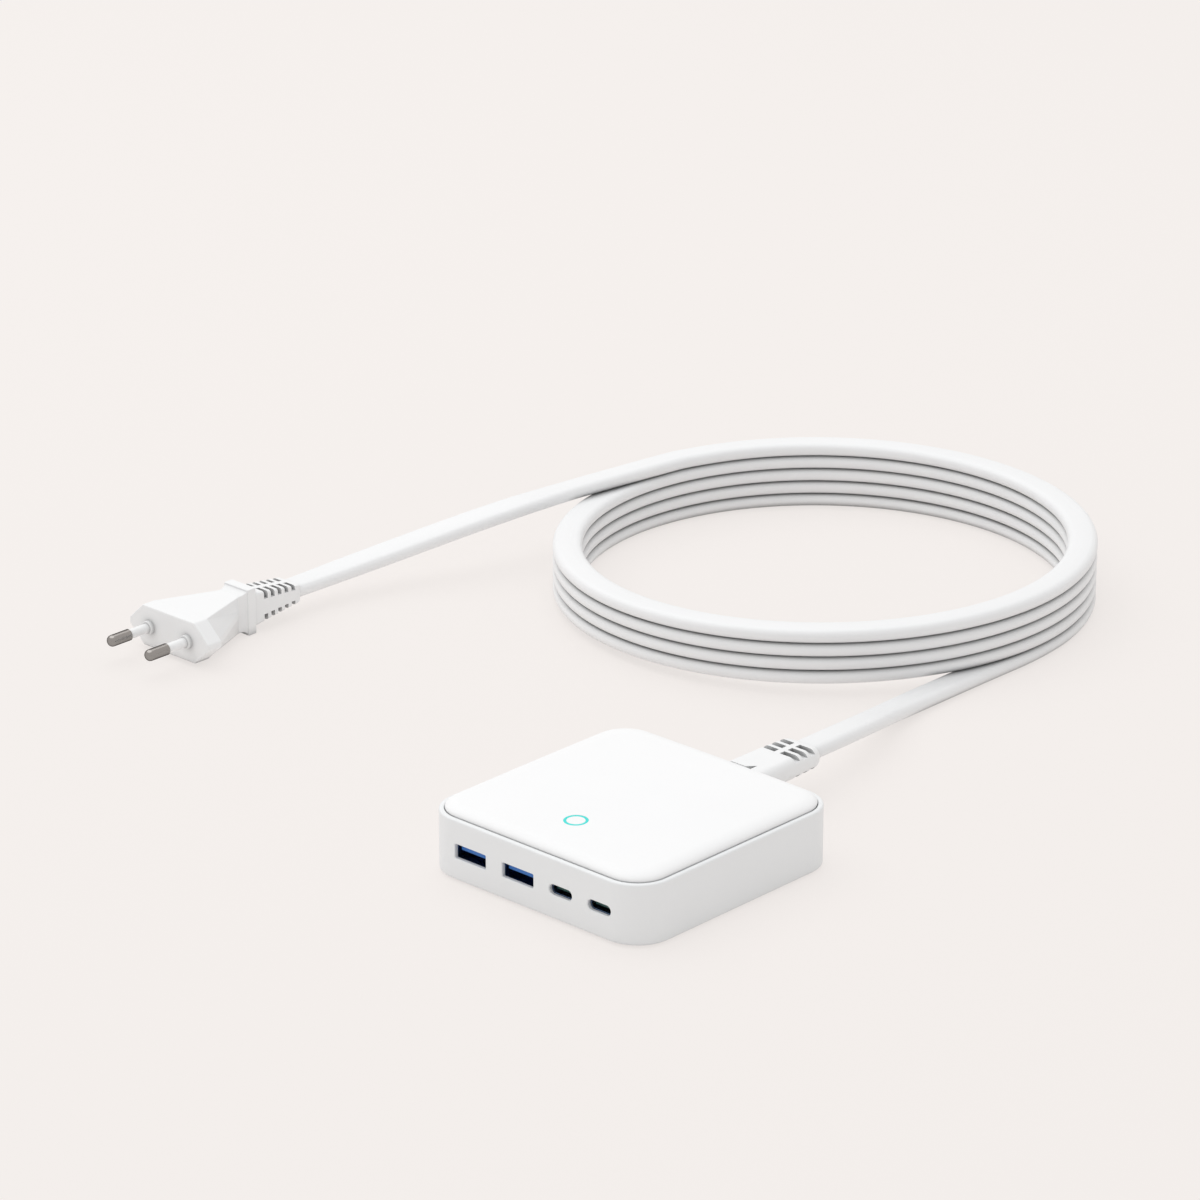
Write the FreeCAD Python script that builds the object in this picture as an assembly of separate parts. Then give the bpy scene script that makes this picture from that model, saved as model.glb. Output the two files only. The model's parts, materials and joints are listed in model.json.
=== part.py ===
"""Desktop USB charging station with a detachable flat mains lead.

Millimetres. The origin lies under the middle of the casing, on the surface that it stands on.
The ports face -Y, the mains inlet faces +Y and +Z is up.
"""
import FreeCAD, Part
import math
import os

V = FreeCAD.Vector
X = V(1, 0, 0)
Y = V(0, 1, 0)
Z = V(0, 0, 1)

# Casing
side = 90.0
corner_radius = 12.5
foot_height = 0.8
rim_height = 20.2
wall = 3.0
floor_thickness = 2.0
bottom_round = 2.4
bottom_steps = 4
rim_width = 1.7
rim_round = 0.5
ledge_depth = 1.8
seam = 0.45

# How far a cutting shape runs past what it cuts
overcut = 1.0

# Lid
crown_height = 3.2
crown_radius = 2000.0
roll_width = 5.0
roll_height = 3.7
roll_bite = 0.25
roll_steps = 5
cover_edge = 2.5
cover_skin = 2.6
skirt_depth = 2.0
skirt_wall = 1.2
skirt_clearance = 0.15

# Status light
light_y = -24.5
ring_radius = 3.85
ring_width = 0.5
cap_depth = 1.2
guide_flange_radius = 5.2
guide_flange = 0.8
guide_stem_radius = 2.0
led_size = 3.0
led_height = 0.8
led_gap = 0.3

# Feet
foot_radius = 4.5
foot_recess = 0.6
foot_inset = 14.0
foot_chamfer = 0.4

# Circuit board, its bosses and screws
board_gap = 1.0
board_thickness = 1.6
boss_height = 2.8
boss_radius = 2.75
boss_inset = 5.0
screw_radius = 1.0
screw_hole_clearance = 0.2
screw_length = 3.6
screw_head_radius = 1.9
screw_head_height = 1.4
screw_head_chamfer = 0.6
sheet_thickness = 0.4
sheet_gap = 0.5

# Parts on the board: sizes, and places of their middles as drawn on a board of layout_half
layout_half = 41.0
fuse_radius = 2.3
fuse_length = 10.0
fuse_lead = 0.5
fuse_place = (-13.8, 33.0)
choke_radius = 7.6
choke_hole = 3.6
choke_height = 8.6
choke_wire = 1.0
choke_gap = 1.0
choke_place = (-26.6, 25.6)
film_size = (16.0, 7.0, 10.4)
film_chamfer = 0.5
film_place = (-30.0, 10.5)
bridge_size = (10.0, 8.0, 2.6)
bridge_place = (-11.5, 15.5)
bulk_radius = 4.5
bulk_length = 25.0
bulk_pitch = 9.6
bulk_gap = 0.9
bulk_groove = 0.4
bulk_y = 17.0
safety_radius = 3.6
safety_thickness = 3.0
safety_chamfer = 0.8
safety_place = (6.0, 17.0)
core_size = (24.0, 21.0, 10.4)
core_leg = 5.0
core_yoke = 3.0
core_place = (-3.0, -3.0)
winding_gap = 0.2
winding_reach = 2.4
switch_size = (8.0, 8.0, 0.9)
switch_place = (-25.0, -1.0)
chip_size = (5.0, 5.0, 0.9)
chip_places = ((-35.0, -13.0), (-22.0, -13.0), (15.5, -14.5), (31.5, -14.5))
inductor_size = (6.8, 6.8, 4.0)
inductor_chamfer = 0.6
inductor_places = ((-35.0, -3.0), (16.5, -4.5), (25.0, -4.5), (33.5, -4.5))
can_radius = 3.15
can_height = 7.7
can_base = 1.2
can_chamfer = 0.4
can_places = ((-30.0, -22.0), (-12.0, -22.0), (12.8, -22.5), (28.5, -22.5))
opto_size = (4.6, 6.5, 3.4)
opto_place = (-2.0, 15.6)
pad_thickness = 0.7
spreader_thickness = 0.8
spreader_size = (62.0, 40.0)
spreader_place = (-8.0, 3.0)

# USB ports
port_skin = 1.3
port_gap = 0.1
pocket_margin = 1.2
usb_sheet = 0.3
usb_a_places = {"left": -24.6, "right": -4.8}
usb_a_width = 13.1
usb_a_height = 5.7
usb_a_depth = 14.0
usb_a_cut_width = 12.9
usb_a_cut_height = 4.7
usb_a_cut_radius = 0.4
usb_a_tongue_width = 11.1
usb_a_tongue = 1.84
usb_a_tongue_drop = 0.72
usb_a_tongue_setback = 0.8
usb_a_block = 4.5
usb_a_contacts = 4
usb_a_contact_width = 1.0
usb_a_contact_pitch = 2.3
usb_a_contact_length = 6.5
usb_c_places = {"left": 12.8, "right": 28.5}
usb_c_width = 8.94
usb_c_height = 3.26
usb_c_depth = 7.6
usb_c_cut_width = 9.3
usb_c_cut_height = 3.4
usb_c_tongue_width = 6.69
usb_c_tongue = 0.7
usb_c_tongue_setback = 1.0
usb_c_block = 2.6
usb_c_heel = 1.4
usb_c_contacts = 6
usb_c_contact_width = 0.3
usb_c_contact_pitch = 1.0
usb_c_contact_length = 3.0
contact_thickness = 0.15

# Mains inlet and the connector that plugs into it
inlet_z = 11.2
lobe_radius = 3.9
pin_spacing = 8.6
waist_height = 5.4
inlet_width = 18.4
inlet_roof = 5.0
inlet_depth = 15.0
inlet_recess = 12.5
inlet_pin_radius = 1.2
inlet_pin_length = 9.5
inlet_tail = 2.2
inlet_pin_chamfer = 0.5
inlet_leg = 0.8
nose_clearance = 0.25
nose_tip_gap = 0.8
shoulder_gap = 0.3
sleeve_radius = 1.7
sleeve_length = 10.2
sleeve_clearance = 0.05

# Flat cord
cord_width = 10.0
cord_thickness = 4.8
cord_side_steps = 2

# Grip of the connector: length, and sections as (share of the length, width, height, corner radius)
grip_length = 34.7
grip_sections = (
    (0.0, 16.4, 9.6, 3.0),
    (0.16, 17.4, 10.2, 3.3),
    (0.45, 17.0, 10.2, 3.3),
    (0.92, 13.4, 8.7, 3.0),
    (0.98, 12.8, 8.2, 2.8),
    (1.0, 11.6, 7.0, 2.4),
)
notch_x = 2.3
notch_length = 10.2
notch_width = 4.6
notch_depth = 1.2
grip_slots = 3
grip_slot_pitch = 3.7
grip_slot_width = 1.9
grip_slot_end = 3.4
relief_bridge = 1.1

# Share of a relief's half height that its slots leave solid
relief_solid = 0.52

# Two-pin plug
plug_x = -226.5
plug_face_y = 17.0
plug_axis_z = 8.3
face_half_width = 12.65
face_half_height = 7.3
tip_half_width = 19.5
tip_half_height = 1.0
block_length = 6.3
block_step = 0.7
neck_half_width = 4.9
neck_half_height = 6.6
neck_length = 31.0
neck_blend = 3.0
neck_blend_steps = 4
flange_half_width = 5.9
flange_thickness = 3.8
flange_round = 0.8
relief_length = 21.2
relief_width = 11.0
relief_start_height = 12.0
relief_end_height = 6.4
relief_corner = 1.0
plug_slots = 5
plug_slot_pitch = 3.2
plug_slot_width = 1.7
plug_slot_end = 2.6
contact_spacing = 18.6
contact_radius = 2.0
contact_length = 18.5
contact_tip_length = 9.0
contact_tip_round = 1.8
contact_tip_steps = 3
contact_core_radius = 1.3
contact_embed = 12.0
sleeve_outer_radius = 1.65
base_ring_radius = 2.9
base_ring_height = 0.9

# Coil of the cord: layers of one turn each, stacked on the surface
coil_x = -104.7
coil_y = 211.5
coil_radius = 89.0
coil_turns = 4
exit_angle = 172.0
stub_length = 43.0

# Routes of the two ends of the cord, as points chosen along each run
charger_lead_route = ((0.0, 80.0, 11.2), (0.0, 103.5, 11.2), (-15.7, 145.0, 2.4), (-15.7, 168.5, 2.4))
plug_lead_first_run = 31.5
plug_lead_bend = (-226.5, 101.0, 8.3)
bend_share = 0.45

# Heights and half sizes that follow from the sizes above
half = side / 2
floor_z = foot_height + floor_thickness
ledge_z = rim_height - ledge_depth
crown_z = rim_height + crown_height
cavity_half = half - wall
cavity_radius = corner_radius - wall
cover_half = half - rim_width - seam
cover_radius = corner_radius - rim_width - seam
crown_fall = crown_radius - math.sqrt(crown_radius ** 2 - (cover_half - roll_width) ** 2)
roll_top = crown_z - crown_fall + roll_bite
pocket_z = crown_z - cover_skin
board_z = floor_z + boss_height
board_top = board_z + board_thickness
board_half = cavity_half - board_gap
board_radius = cavity_radius - board_gap
layout_spread = board_half / layout_half
port_z = board_top + usb_a_height / 2
port_y = -half + port_skin + port_gap
inlet_y = cavity_half
grip_y = half + shoulder_gap
plug_rear_y = plug_face_y + neck_length + flange_thickness + relief_length


def placed(drawn):
    """Places on this board of what is drawn on a board of layout_half."""
    return tuple(layout_spread * value for value in drawn)


lamp_y = layout_spread * light_y
bulk_x = inlet_width / 2 + bulk_gap
bulk_count = int((board_half - bulk_x) // bulk_pitch)


def box(x0, x1, y0, y1, z0, z1):
    return Part.makeBox(x1 - x0, y1 - y0, z1 - z0, V(x0, y0, z0))


def cylinder(radius, start, end):
    axis = end.sub(start)
    return Part.makeCylinder(radius, axis.Length, start, axis)


def fuse(shapes):
    return shapes[0].multiFuse(shapes[1:]).removeSplitter()


def outline(centre, u, v, width, height, radius):
    """Closed rounded rectangle about a centre, in the plane of u and v."""
    reach_u = width / 2 - radius
    reach_v = height / 2 - radius
    edges = []
    last = None
    for quarter, (su, sv) in enumerate(((1, 1), (-1, 1), (-1, -1), (1, -1))):
        middle = centre + u * (su * reach_u) + v * (sv * reach_v)
        turn = [math.pi / 2 * quarter + math.pi / 4 * step for step in range(3)]
        arc = [middle + u * (radius * math.cos(a)) + v * (radius * math.sin(a)) for a in turn]
        if last and last.distanceToPoint(arc[0]) > 1e-6:
            edges.append(Part.LineSegment(last, arc[0]).toShape())
        edges.append(Part.Arc(*arc).toShape())
        last = arc[2]
    first = edges[0].Vertexes[0].Point
    if last.distanceToPoint(first) > 1e-6:
        edges.append(Part.LineSegment(last, first).toShape())
    return Part.Wire(edges)


def casing_plan(half_size, radius, z):
    """The casing's plan at a height: a square with round corners."""
    return outline(V(0, 0, z), X, Y, 2 * half_size, 2 * half_size, radius)


def casing_block(half_size, radius, z0, z1):
    return Part.Face(casing_plan(half_size, radius, z0)).extrude(Z * (z1 - z0))


def edges_at(shape, z):
    flat = [e for e in shape.Edges if e.BoundBox.ZLength < 1e-4]
    return [e for e in flat if abs(e.BoundBox.ZMin - z) < 1e-4]


def four_places(reach):
    return [V(sx * reach, sy * reach, 0) for sx in (-1, 1) for sy in (-1, 1)]


def figure_eight(y0, y1, clearance):
    """Two joined round lobes, as the inlet's recess and the connector's nose have."""
    lobes = []
    for sx in (-1, 1):
        x = sx * pin_spacing / 2
        lobes.append(cylinder(lobe_radius - clearance, V(x, y0, inlet_z), V(x, y1, inlet_z)))
    waist = waist_height / 2 - clearance
    lobes.append(box(-pin_spacing / 2, pin_spacing / 2, y0, y1, inlet_z - waist, inlet_z + waist))
    return fuse(lobes)


def lens_of_crown():
    """The large ball whose top is the lid's crowned surface."""
    return Part.makeSphere(crown_radius, V(0, 0, crown_z - crown_radius))


def tray_blank():
    """Outside of the tray: a round lower edge, upright sides and a broken edge on the rim."""
    plans = []
    for step in range(bottom_steps + 1):
        turn = math.pi / 2 * step / bottom_steps
        inset = bottom_round * (1 - math.sin(turn))
        height = foot_height + bottom_round * (1 - math.cos(turn))
        plans.append(casing_plan(half - inset, corner_radius - inset, height))
    plans.append(casing_plan(half, corner_radius, rim_height - rim_round))
    plans.append(casing_plan(half - rim_round, corner_radius - rim_round, rim_height))
    return Part.makeLoft(plans, True, True)


def base_shell():
    body = tray_blank()
    body = body.cut(casing_block(cavity_half, cavity_radius, floor_z, rim_height + overcut))
    rebate_radius = corner_radius - rim_width
    body = body.cut(casing_block(half - rim_width, rebate_radius, ledge_z, rim_height + overcut))
    bosses = []
    holes = []
    for place in four_places(board_half - boss_inset):
        bosses.append(cylinder(boss_radius, place + Z * floor_z, place + Z * board_z))
        holes.append(cylinder(screw_radius, place + Z * (board_top - screw_length), place + Z * board_z))
    for place in four_places(half - foot_inset):
        foot_seat = place + Z * foot_height
        holes.append(cylinder(foot_radius, foot_seat, foot_seat + Z * foot_recess))
    body = body.multiFuse(bosses)
    for x in placed(usb_a_places.values()):
        holes.append(port_pocket(x, usb_a_width))
        cut = outline(V(x, -half, port_z), X, Z, usb_a_cut_width, usb_a_cut_height, usb_a_cut_radius)
        holes.append(Part.Face(cut).extrude(Y * wall))
    for x in placed(usb_c_places.values()):
        holes.append(port_pocket(x, usb_c_width))
        cut = outline(V(x, -half, port_z), X, Z, usb_c_cut_width, usb_c_cut_height, usb_c_cut_height / 2)
        holes.append(Part.Face(cut).extrude(Y * wall))
    holes.append(figure_eight(cavity_half, half, 0))
    return body.cut(holes).removeSplitter()


def port_pocket(x, width):
    """Thins the front wall from inside, where the mouth of a port stands."""
    reach = width / 2 + pocket_margin
    rise = usb_a_height / 2 + pocket_margin
    inside = -cavity_half + pocket_margin
    return box(x - reach, x + reach, -half + port_skin, inside, port_z - rise, port_z + rise)


def lid_blank():
    """Lid before it is crowned: an upright edge that rolls over in a quarter of an ellipse."""
    plans = [casing_plan(cover_half, cover_radius, ledge_z)]
    for step in range(roll_steps + 1):
        turn = math.pi / 2 * step / roll_steps
        inset = roll_width * (1 - math.cos(turn))
        height = roll_top - roll_height * (1 - math.sin(turn))
        plans.append(casing_plan(cover_half - inset, cover_radius - inset, height))
    plans.append(casing_plan(cover_half - roll_width, cover_radius - roll_width, crown_z + overcut))
    return Part.makeLoft(plans, True, True)


def top_cover():
    blank = lid_blank().common(lens_of_crown())
    inner = cover_half - cover_edge
    blank = blank.cut(casing_block(inner, cover_radius - cover_edge, ledge_z, pocket_z))
    skirt_half = cavity_half - skirt_clearance
    skirt_radius = cavity_radius - skirt_clearance
    skirt = casing_block(skirt_half, skirt_radius, ledge_z - skirt_depth, ledge_z)
    hollow_half = skirt_half - skirt_wall
    hollow = casing_block(hollow_half, skirt_radius - skirt_wall, ledge_z - skirt_depth, ledge_z)
    cover = fuse([blank, skirt.cut(hollow)])
    return cover.cut(cylinder(ring_radius, V(0, lamp_y, ledge_z), V(0, lamp_y, crown_z + overcut)))


def light_guide():
    """Clear cup whose rim shows as a ring, with a stem that leads down to the lamp."""
    centre = V(0, lamp_y, 0)
    flange_foot = centre + Z * (pocket_z - guide_flange)
    cup = cylinder(ring_radius, flange_foot, centre + Z * (crown_z + overcut))
    cup = cup.common(lens_of_crown())
    flange = cylinder(guide_flange_radius, flange_foot, centre + Z * pocket_z)
    stem_foot = board_top + led_height + led_gap
    stem = cylinder(guide_stem_radius, centre + Z * stem_foot, centre + Z * pocket_z)
    return fuse([cup, flange, stem]).cut(cap_room())


def cap_room():
    low = V(0, lamp_y, crown_z - cap_depth)
    return cylinder(ring_radius - ring_width, low, low + Z * (cap_depth + overcut))


def ring_cap():
    return cap_room().common(lens_of_crown())


def status_led():
    reach = led_size / 2
    return box(-reach, reach, lamp_y - reach, lamp_y + reach, board_top, board_top + led_height)


def rubber_feet():
    feet = []
    for place in four_places(half - foot_inset):
        foot = cylinder(foot_radius, place, place + Z * (foot_height + foot_recess))
        feet.append(foot.makeChamfer(foot_chamfer, edges_at(foot, 0)))
    return Part.makeCompound(feet)


def main_board():
    board = casing_block(board_half, board_radius, board_z, board_top)
    reach = screw_radius + screw_hole_clearance
    holes = []
    for place in four_places(board_half - boss_inset):
        holes.append(cylinder(reach, place + Z * board_z, place + Z * board_top))
    return board.cut(holes)


def board_screws():
    screws = []
    for place in four_places(board_half - boss_inset):
        shank = cylinder(screw_radius, place + Z * (board_top - screw_length), place + Z * board_top)
        head_top = board_top + screw_head_height
        head = cylinder(screw_head_radius, place + Z * board_top, place + Z * head_top)
        head = head.makeChamfer(screw_head_chamfer, edges_at(head, head_top))
        screws.append(fuse([shank, head]))
    return Part.makeCompound(screws)


def insulation_sheet():
    sheet = casing_block(board_half, board_radius, floor_z, floor_z + sheet_thickness)
    holes = []
    for place in four_places(board_half - boss_inset):
        holes.append(cylinder(boss_radius + sheet_gap, place + Z * floor_z, place + Z * board_z))
    return sheet.cut(holes)


def standing_block(size, place, chamfer):
    """Moulded block on the board, with its upright and top edges broken."""
    x, y = placed(place)
    length, width, height = size
    block = box(x - length / 2, x + length / 2, y - width / 2, y + width / 2, board_top, board_top + height)
    if chamfer:
        free_edges = [e for e in block.Edges if e.BoundBox.ZMax > board_top + 1e-6]
        block = block.makeChamfer(chamfer, free_edges)
    return block


def fuse_link():
    x, y = placed(fuse_place)
    axis_z = board_top + fuse_radius + fuse_lead
    ends = [V(x, y + s * fuse_length / 2, axis_z) for s in (-1, 1)]
    pieces = [cylinder(fuse_radius, ends[0], ends[1])]
    for s in (-1, 1):
        foot = V(x, y + s * (fuse_length / 2 - 2 * fuse_lead), board_top)
        pieces.append(cylinder(fuse_lead, foot, foot + Z * (axis_z - board_top)))
    return fuse(pieces)


def choke_ring(outer, inner, z0, z1):
    x, y = placed(choke_place)
    return cylinder(outer, V(x, y, z0), V(x, y, z1)).cut(cylinder(inner, V(x, y, z0), V(x, y, z1)))


def choke_core():
    low = board_top + choke_wire
    high = board_top + choke_height - choke_wire
    return choke_ring(choke_radius, choke_hole, low, high)


def choke_windings():
    """Two wound halves, kept apart by a gap across the ring."""
    x, y = placed(choke_place)
    high = board_top + choke_height
    coat = choke_ring(choke_radius + choke_wire, choke_hole - choke_wire, board_top, high)
    coat = coat.cut(choke_core())
    reach = choke_radius + 2 * choke_wire
    halves = []
    for s in (-1, 1):
        edges = sorted((y + s * choke_gap, y + s * reach))
        cutter = box(x - reach, x + reach, edges[0], edges[1], board_top, high)
        halves.append(coat.common(cutter))
    return Part.makeCompound([solid for part in halves for solid in part.Solids])


def bulk_capacitors():
    """Row of lying cans, as many as fit between the inlet and the board's edge."""
    cans = []
    y = layout_spread * bulk_y
    for place in range(bulk_count):
        axis_x = bulk_x + bulk_radius + place * bulk_pitch
        axis = [V(axis_x, y + s * bulk_length / 2, board_top + bulk_radius) for s in (-1, 1)]
        can = cylinder(bulk_radius, axis[0], axis[1])
        ring_y = axis[0].y + bulk_radius / 2
        ring = [V(axis_x, ring_y + s * bulk_groove, axis[0].z) for s in (-1, 1)]
        groove = cylinder(bulk_radius + overcut, ring[0], ring[1])
        groove = groove.cut(cylinder(bulk_radius - bulk_groove, ring[0], ring[1]))
        cans.append(can.cut(groove))
    return Part.makeCompound(cans)


def safety_capacitor():
    x, y = placed(safety_place)
    centre_z = board_top + safety_radius
    ends = [V(x, y + s * safety_thickness / 2, centre_z) for s in (-1, 1)]
    disc = cylinder(safety_radius, ends[0], ends[1])
    return disc.makeChamfer(safety_chamfer, [e for e in disc.Edges if e.Closed])


def core_window(margin):
    """Rectangular ring around the core's middle leg, less a margin on each side."""
    x, y = placed(core_place)
    length, width, height = core_size
    reach_x = length / 2 - core_leg / 2 - margin
    reach_y = width / 2
    low = board_top + core_yoke + margin
    high = board_top + height - core_yoke - margin
    ring = box(x - reach_x, x + reach_x, y - reach_y, y + reach_y, low, high)
    leg = core_leg / 2 + margin
    return ring.cut(box(x - leg, x + leg, y - reach_y, y + reach_y, low, high))


def transformer_core():
    return standing_block(core_size, core_place, 0).cut(core_window(0))


def transformer_winding():
    """Winding that fills both windows and closes round the middle leg outside them."""
    x, y = placed(core_place)
    length, width, height = core_size
    reach_x = length / 2 - core_leg / 2 - winding_gap
    outer_y = width / 2 + winding_reach
    inner_y = width / 2 + winding_gap
    low = board_top + core_yoke + winding_gap
    high = board_top + height - core_yoke - winding_gap
    turns = [core_window(winding_gap)]
    for s in (-1, 1):
        y0, y1 = sorted((y + s * width / 2, y + s * outer_y))
        turns.append(box(x - reach_x, x + reach_x, y0, y1, low, high))
    leg = core_leg / 2 + winding_gap
    gap = box(x - leg, x + leg, y - inner_y, y + inner_y, low, high)
    return fuse(turns).cut(gap)


def power_switch():
    return standing_block(switch_size, switch_place, 0)


def controller_chips():
    return Part.makeCompound([standing_block(chip_size, place, 0) for place in chip_places])


def output_inductors():
    blocks = [standing_block(inductor_size, place, inductor_chamfer) for place in inductor_places]
    return Part.makeCompound(blocks)


def output_capacitors():
    cans = []
    for place in can_places:
        x, y = placed(place)
        reach = can_radius
        base = box(x - reach, x + reach, y - reach, y + reach, board_top, board_top + can_base)
        can = cylinder(can_radius, V(x, y, board_top), V(x, y, board_top + can_height))
        can = can.makeChamfer(can_chamfer, edges_at(can, board_top + can_height))
        cans.append(fuse([base, can]))
    return Part.makeCompound(cans)


def thermal_pads():
    """Soft pads on the two tall blocks, which carry the heat spreader."""
    pads = []
    for size, place in ((core_size, core_place), (film_size, film_place)):
        x, y = placed(place)
        top = board_top + size[2]
        reach_x = size[0] / 2
        reach_y = size[1] / 2
        pads.append(box(x - reach_x, x + reach_x, y - reach_y, y + reach_y, top, top + pad_thickness))
    return Part.makeCompound(pads)


def heat_spreader():
    x, y = placed(spreader_place)
    low = board_top + core_size[2] + pad_thickness
    length, width = placed(spreader_size)
    return box(x - length / 2, x + length / 2, y - width / 2, y + width / 2, low, low + spreader_thickness)


def usb_a_port(x):
    """Steel shell, moulded tongue and spring contacts of one USB-A port."""
    rear_y = port_y + usb_a_depth
    low = board_top
    high = board_top + usb_a_height
    reach = usb_a_width / 2
    inner = reach - usb_sheet
    shell = box(x - reach, x + reach, port_y, rear_y, low, high)
    room_y = rear_y - usb_sheet
    shell = shell.cut(box(x - inner, x + inner, port_y, room_y, low + usb_sheet, high - usb_sheet))
    block_y = room_y - usb_a_block
    block = box(x - inner, x + inner, block_y, room_y, low + usb_sheet, high - usb_sheet)
    tongue_top = high - usb_sheet - usb_a_tongue_drop
    tongue_low = tongue_top - usb_a_tongue
    reach = usb_a_tongue_width / 2
    blade = box(x - reach, x + reach, port_y + usb_a_tongue_setback, block_y, tongue_low, tongue_top)
    contacts = []
    for place in range(usb_a_contacts):
        middle = x + (place - (usb_a_contacts - 1) / 2) * usb_a_contact_pitch
        near = middle - usb_a_contact_width / 2
        far = middle + usb_a_contact_width / 2
        low_z = tongue_low - contact_thickness
        contacts.append(box(near, far, block_y - usb_a_contact_length, block_y, low_z, tongue_low))
    return {"shell": shell, "tongue": fuse([block, blade]), "contacts": Part.makeCompound(contacts)}


def usb_c_port(x):
    """Drawn shell, raised moulding with its tongue, and contacts of one USB-C port."""
    rear_y = port_y + usb_c_depth
    inner_width = usb_c_width - 2 * usb_sheet
    inner_height = usb_c_height - 2 * usb_sheet
    mouth = V(x, port_y, port_z)
    outer_wire = outline(mouth, X, Z, usb_c_width, usb_c_height, usb_c_height / 2)
    inner_wire = outline(mouth, X, Z, inner_width, inner_height, inner_height / 2)
    shell = Part.Face(outer_wire).extrude(Y * usb_c_depth)
    shell = shell.cut(Part.Face(inner_wire).extrude(Y * usb_c_depth))
    block_y = rear_y - usb_c_block
    block_wire = outline(V(x, block_y, port_z), X, Z, inner_width, inner_height, inner_height / 2)
    block = Part.Face(block_wire).extrude(Y * (usb_c_block + usb_c_heel))
    reach = usb_c_tongue_width / 2
    half_tongue = usb_c_tongue / 2
    tip_y = port_y + usb_c_tongue_setback
    blade = box(x - reach, x + reach, tip_y, block_y, port_z - half_tongue, port_z + half_tongue)
    heel = box(x - reach, x + reach, rear_y, rear_y + usb_c_heel, board_top, port_z)
    seat_z = port_z - usb_c_height / 2
    seat = box(x - reach, x + reach, -board_half, rear_y + usb_c_heel, board_top, seat_z)
    contacts = []
    for place in range(usb_c_contacts):
        middle = x + (place - (usb_c_contacts - 1) / 2) * usb_c_contact_pitch
        near = middle - usb_c_contact_width / 2
        far = middle + usb_c_contact_width / 2
        for base in (port_z + half_tongue, port_z - half_tongue - contact_thickness):
            start = block_y - usb_c_contact_length
            contacts.append(box(near, far, start, block_y, base, base + contact_thickness))
    insulator = fuse([block, blade, heel, seat])
    return {"shell": shell, "insulator": insulator, "contacts": Part.makeCompound(contacts)}


def pin_lines():
    """Both contact axes of the inlet, as their x places."""
    return [sx * pin_spacing / 2 for sx in (-1, 1)]


def inlet_body():
    reach = inlet_width / 2
    body = box(-reach, reach, inlet_y - inlet_depth, inlet_y, board_top, inlet_z + inlet_roof)
    cuts = [figure_eight(inlet_y - inlet_recess, inlet_y, 0)]
    for x in pin_lines():
        rear = V(x, inlet_y - inlet_depth, inlet_z)
        cuts.append(cylinder(inlet_pin_radius, rear, V(x, inlet_y, inlet_z)))
    return body.cut(cuts)


def inlet_pins():
    pins = []
    tail_y = inlet_y - inlet_depth - inlet_tail
    tip_y = inlet_y - inlet_recess + inlet_pin_length
    for x in pin_lines():
        pin = cylinder(inlet_pin_radius, V(x, tail_y, inlet_z), V(x, tip_y, inlet_z))
        tip_edges = [e for e in pin.Edges if e.Closed and abs(e.BoundBox.YMin - tip_y) < 1e-4]
        pin = pin.makeChamfer(inlet_pin_chamfer, tip_edges)
        leg = box(x - inlet_leg, x + inlet_leg, tail_y, tail_y + inlet_leg, board_top, inlet_z)
        pins.append(fuse([pin, leg]))
    return Part.makeCompound(pins)


def nose_tip_y():
    return inlet_y - inlet_recess + nose_tip_gap


def across(y, width, height, radius, x=0.0, z=inlet_z):
    """Rounded section of a moulded grip, square to the cord."""
    return outline(V(x, y, z), X, Z, width, height, radius)


def relief_slots(x, z, starts, width, half_height_at):
    """Boxes that cut the slots of a strain relief, above and below, left and right of a bridge."""
    reach = cord_width
    cutters = []
    for y0 in starts:
        floor = relief_solid * half_height_at(y0 + width / 2)
        for sx in (-1, 1):
            x0, x1 = sorted((x + sx * relief_bridge, x + sx * reach))
            for sz in (-1, 1):
                z0, z1 = sorted((z + sz * floor, z + sz * reach))
                cutters.append(box(x0, x1, y0, y0 + width, z0, z1))
    return cutters


def slot_starts(rear_y, end, count, pitch, width):
    """Front edges of a row of slots that ends a little before the relief does."""
    last = rear_y - end - width
    return [last - place * pitch for place in range(count)]


def grip_half_height(y):
    """Half the grip's height where its slots are: between its widest part and its end."""
    (near, _, tall, _), (far, _, low, _) = grip_sections[2:4]
    share = ((y - grip_y) / grip_length - near) / (far - near)
    return (tall + share * (low - tall)) / 2


def relief_half_height(y):
    share = (plug_rear_y - y) / relief_length
    return (relief_end_height + share * (relief_start_height - relief_end_height)) / 2


def connector_body():
    rear_y = grip_y + grip_length
    wires = []
    for share, width, height, radius in grip_sections:
        wires.append(across(grip_y + share * grip_length, width, height, radius))
    grip = Part.makeLoft(wires, True, True)
    starts = slot_starts(rear_y, grip_slot_end, grip_slots, grip_slot_pitch, grip_slot_width)
    cuts = relief_slots(0, inlet_z, starts, grip_slot_width, grip_half_height)
    cuts.append(thumb_notch())
    nose = figure_eight(nose_tip_y(), grip_y, nose_clearance)
    bores = []
    for x in pin_lines():
        start = V(x, nose_tip_y(), inlet_z)
        bores.append(cylinder(sleeve_radius, start, start + Y * sleeve_length))
    return fuse([grip.cut(cuts), nose]).cut(bores)


def thumb_notch():
    """Three-cornered recess in the top of the grip, next to the casing."""
    top = max(height for _, _, height, _ in grip_sections) / 2
    corners = ((notch_x, grip_y), (notch_x, grip_y + notch_length), (notch_x - notch_width, grip_y))
    points = [V(x, y, inlet_z + top - notch_depth) for x, y in corners]
    return Part.Face(Part.makePolygon(points + points[:1])).extrude(Z * (notch_depth + overcut))


def connector_contacts():
    sleeves = []
    for x in pin_lines():
        start = V(x, nose_tip_y(), inlet_z)
        end = start + Y * sleeve_length
        bore = cylinder(inlet_pin_radius + sleeve_clearance, start, end)
        sleeves.append(cylinder(sleeve_radius, start, end).cut(bore))
    return Part.makeCompound(sleeves)


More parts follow.
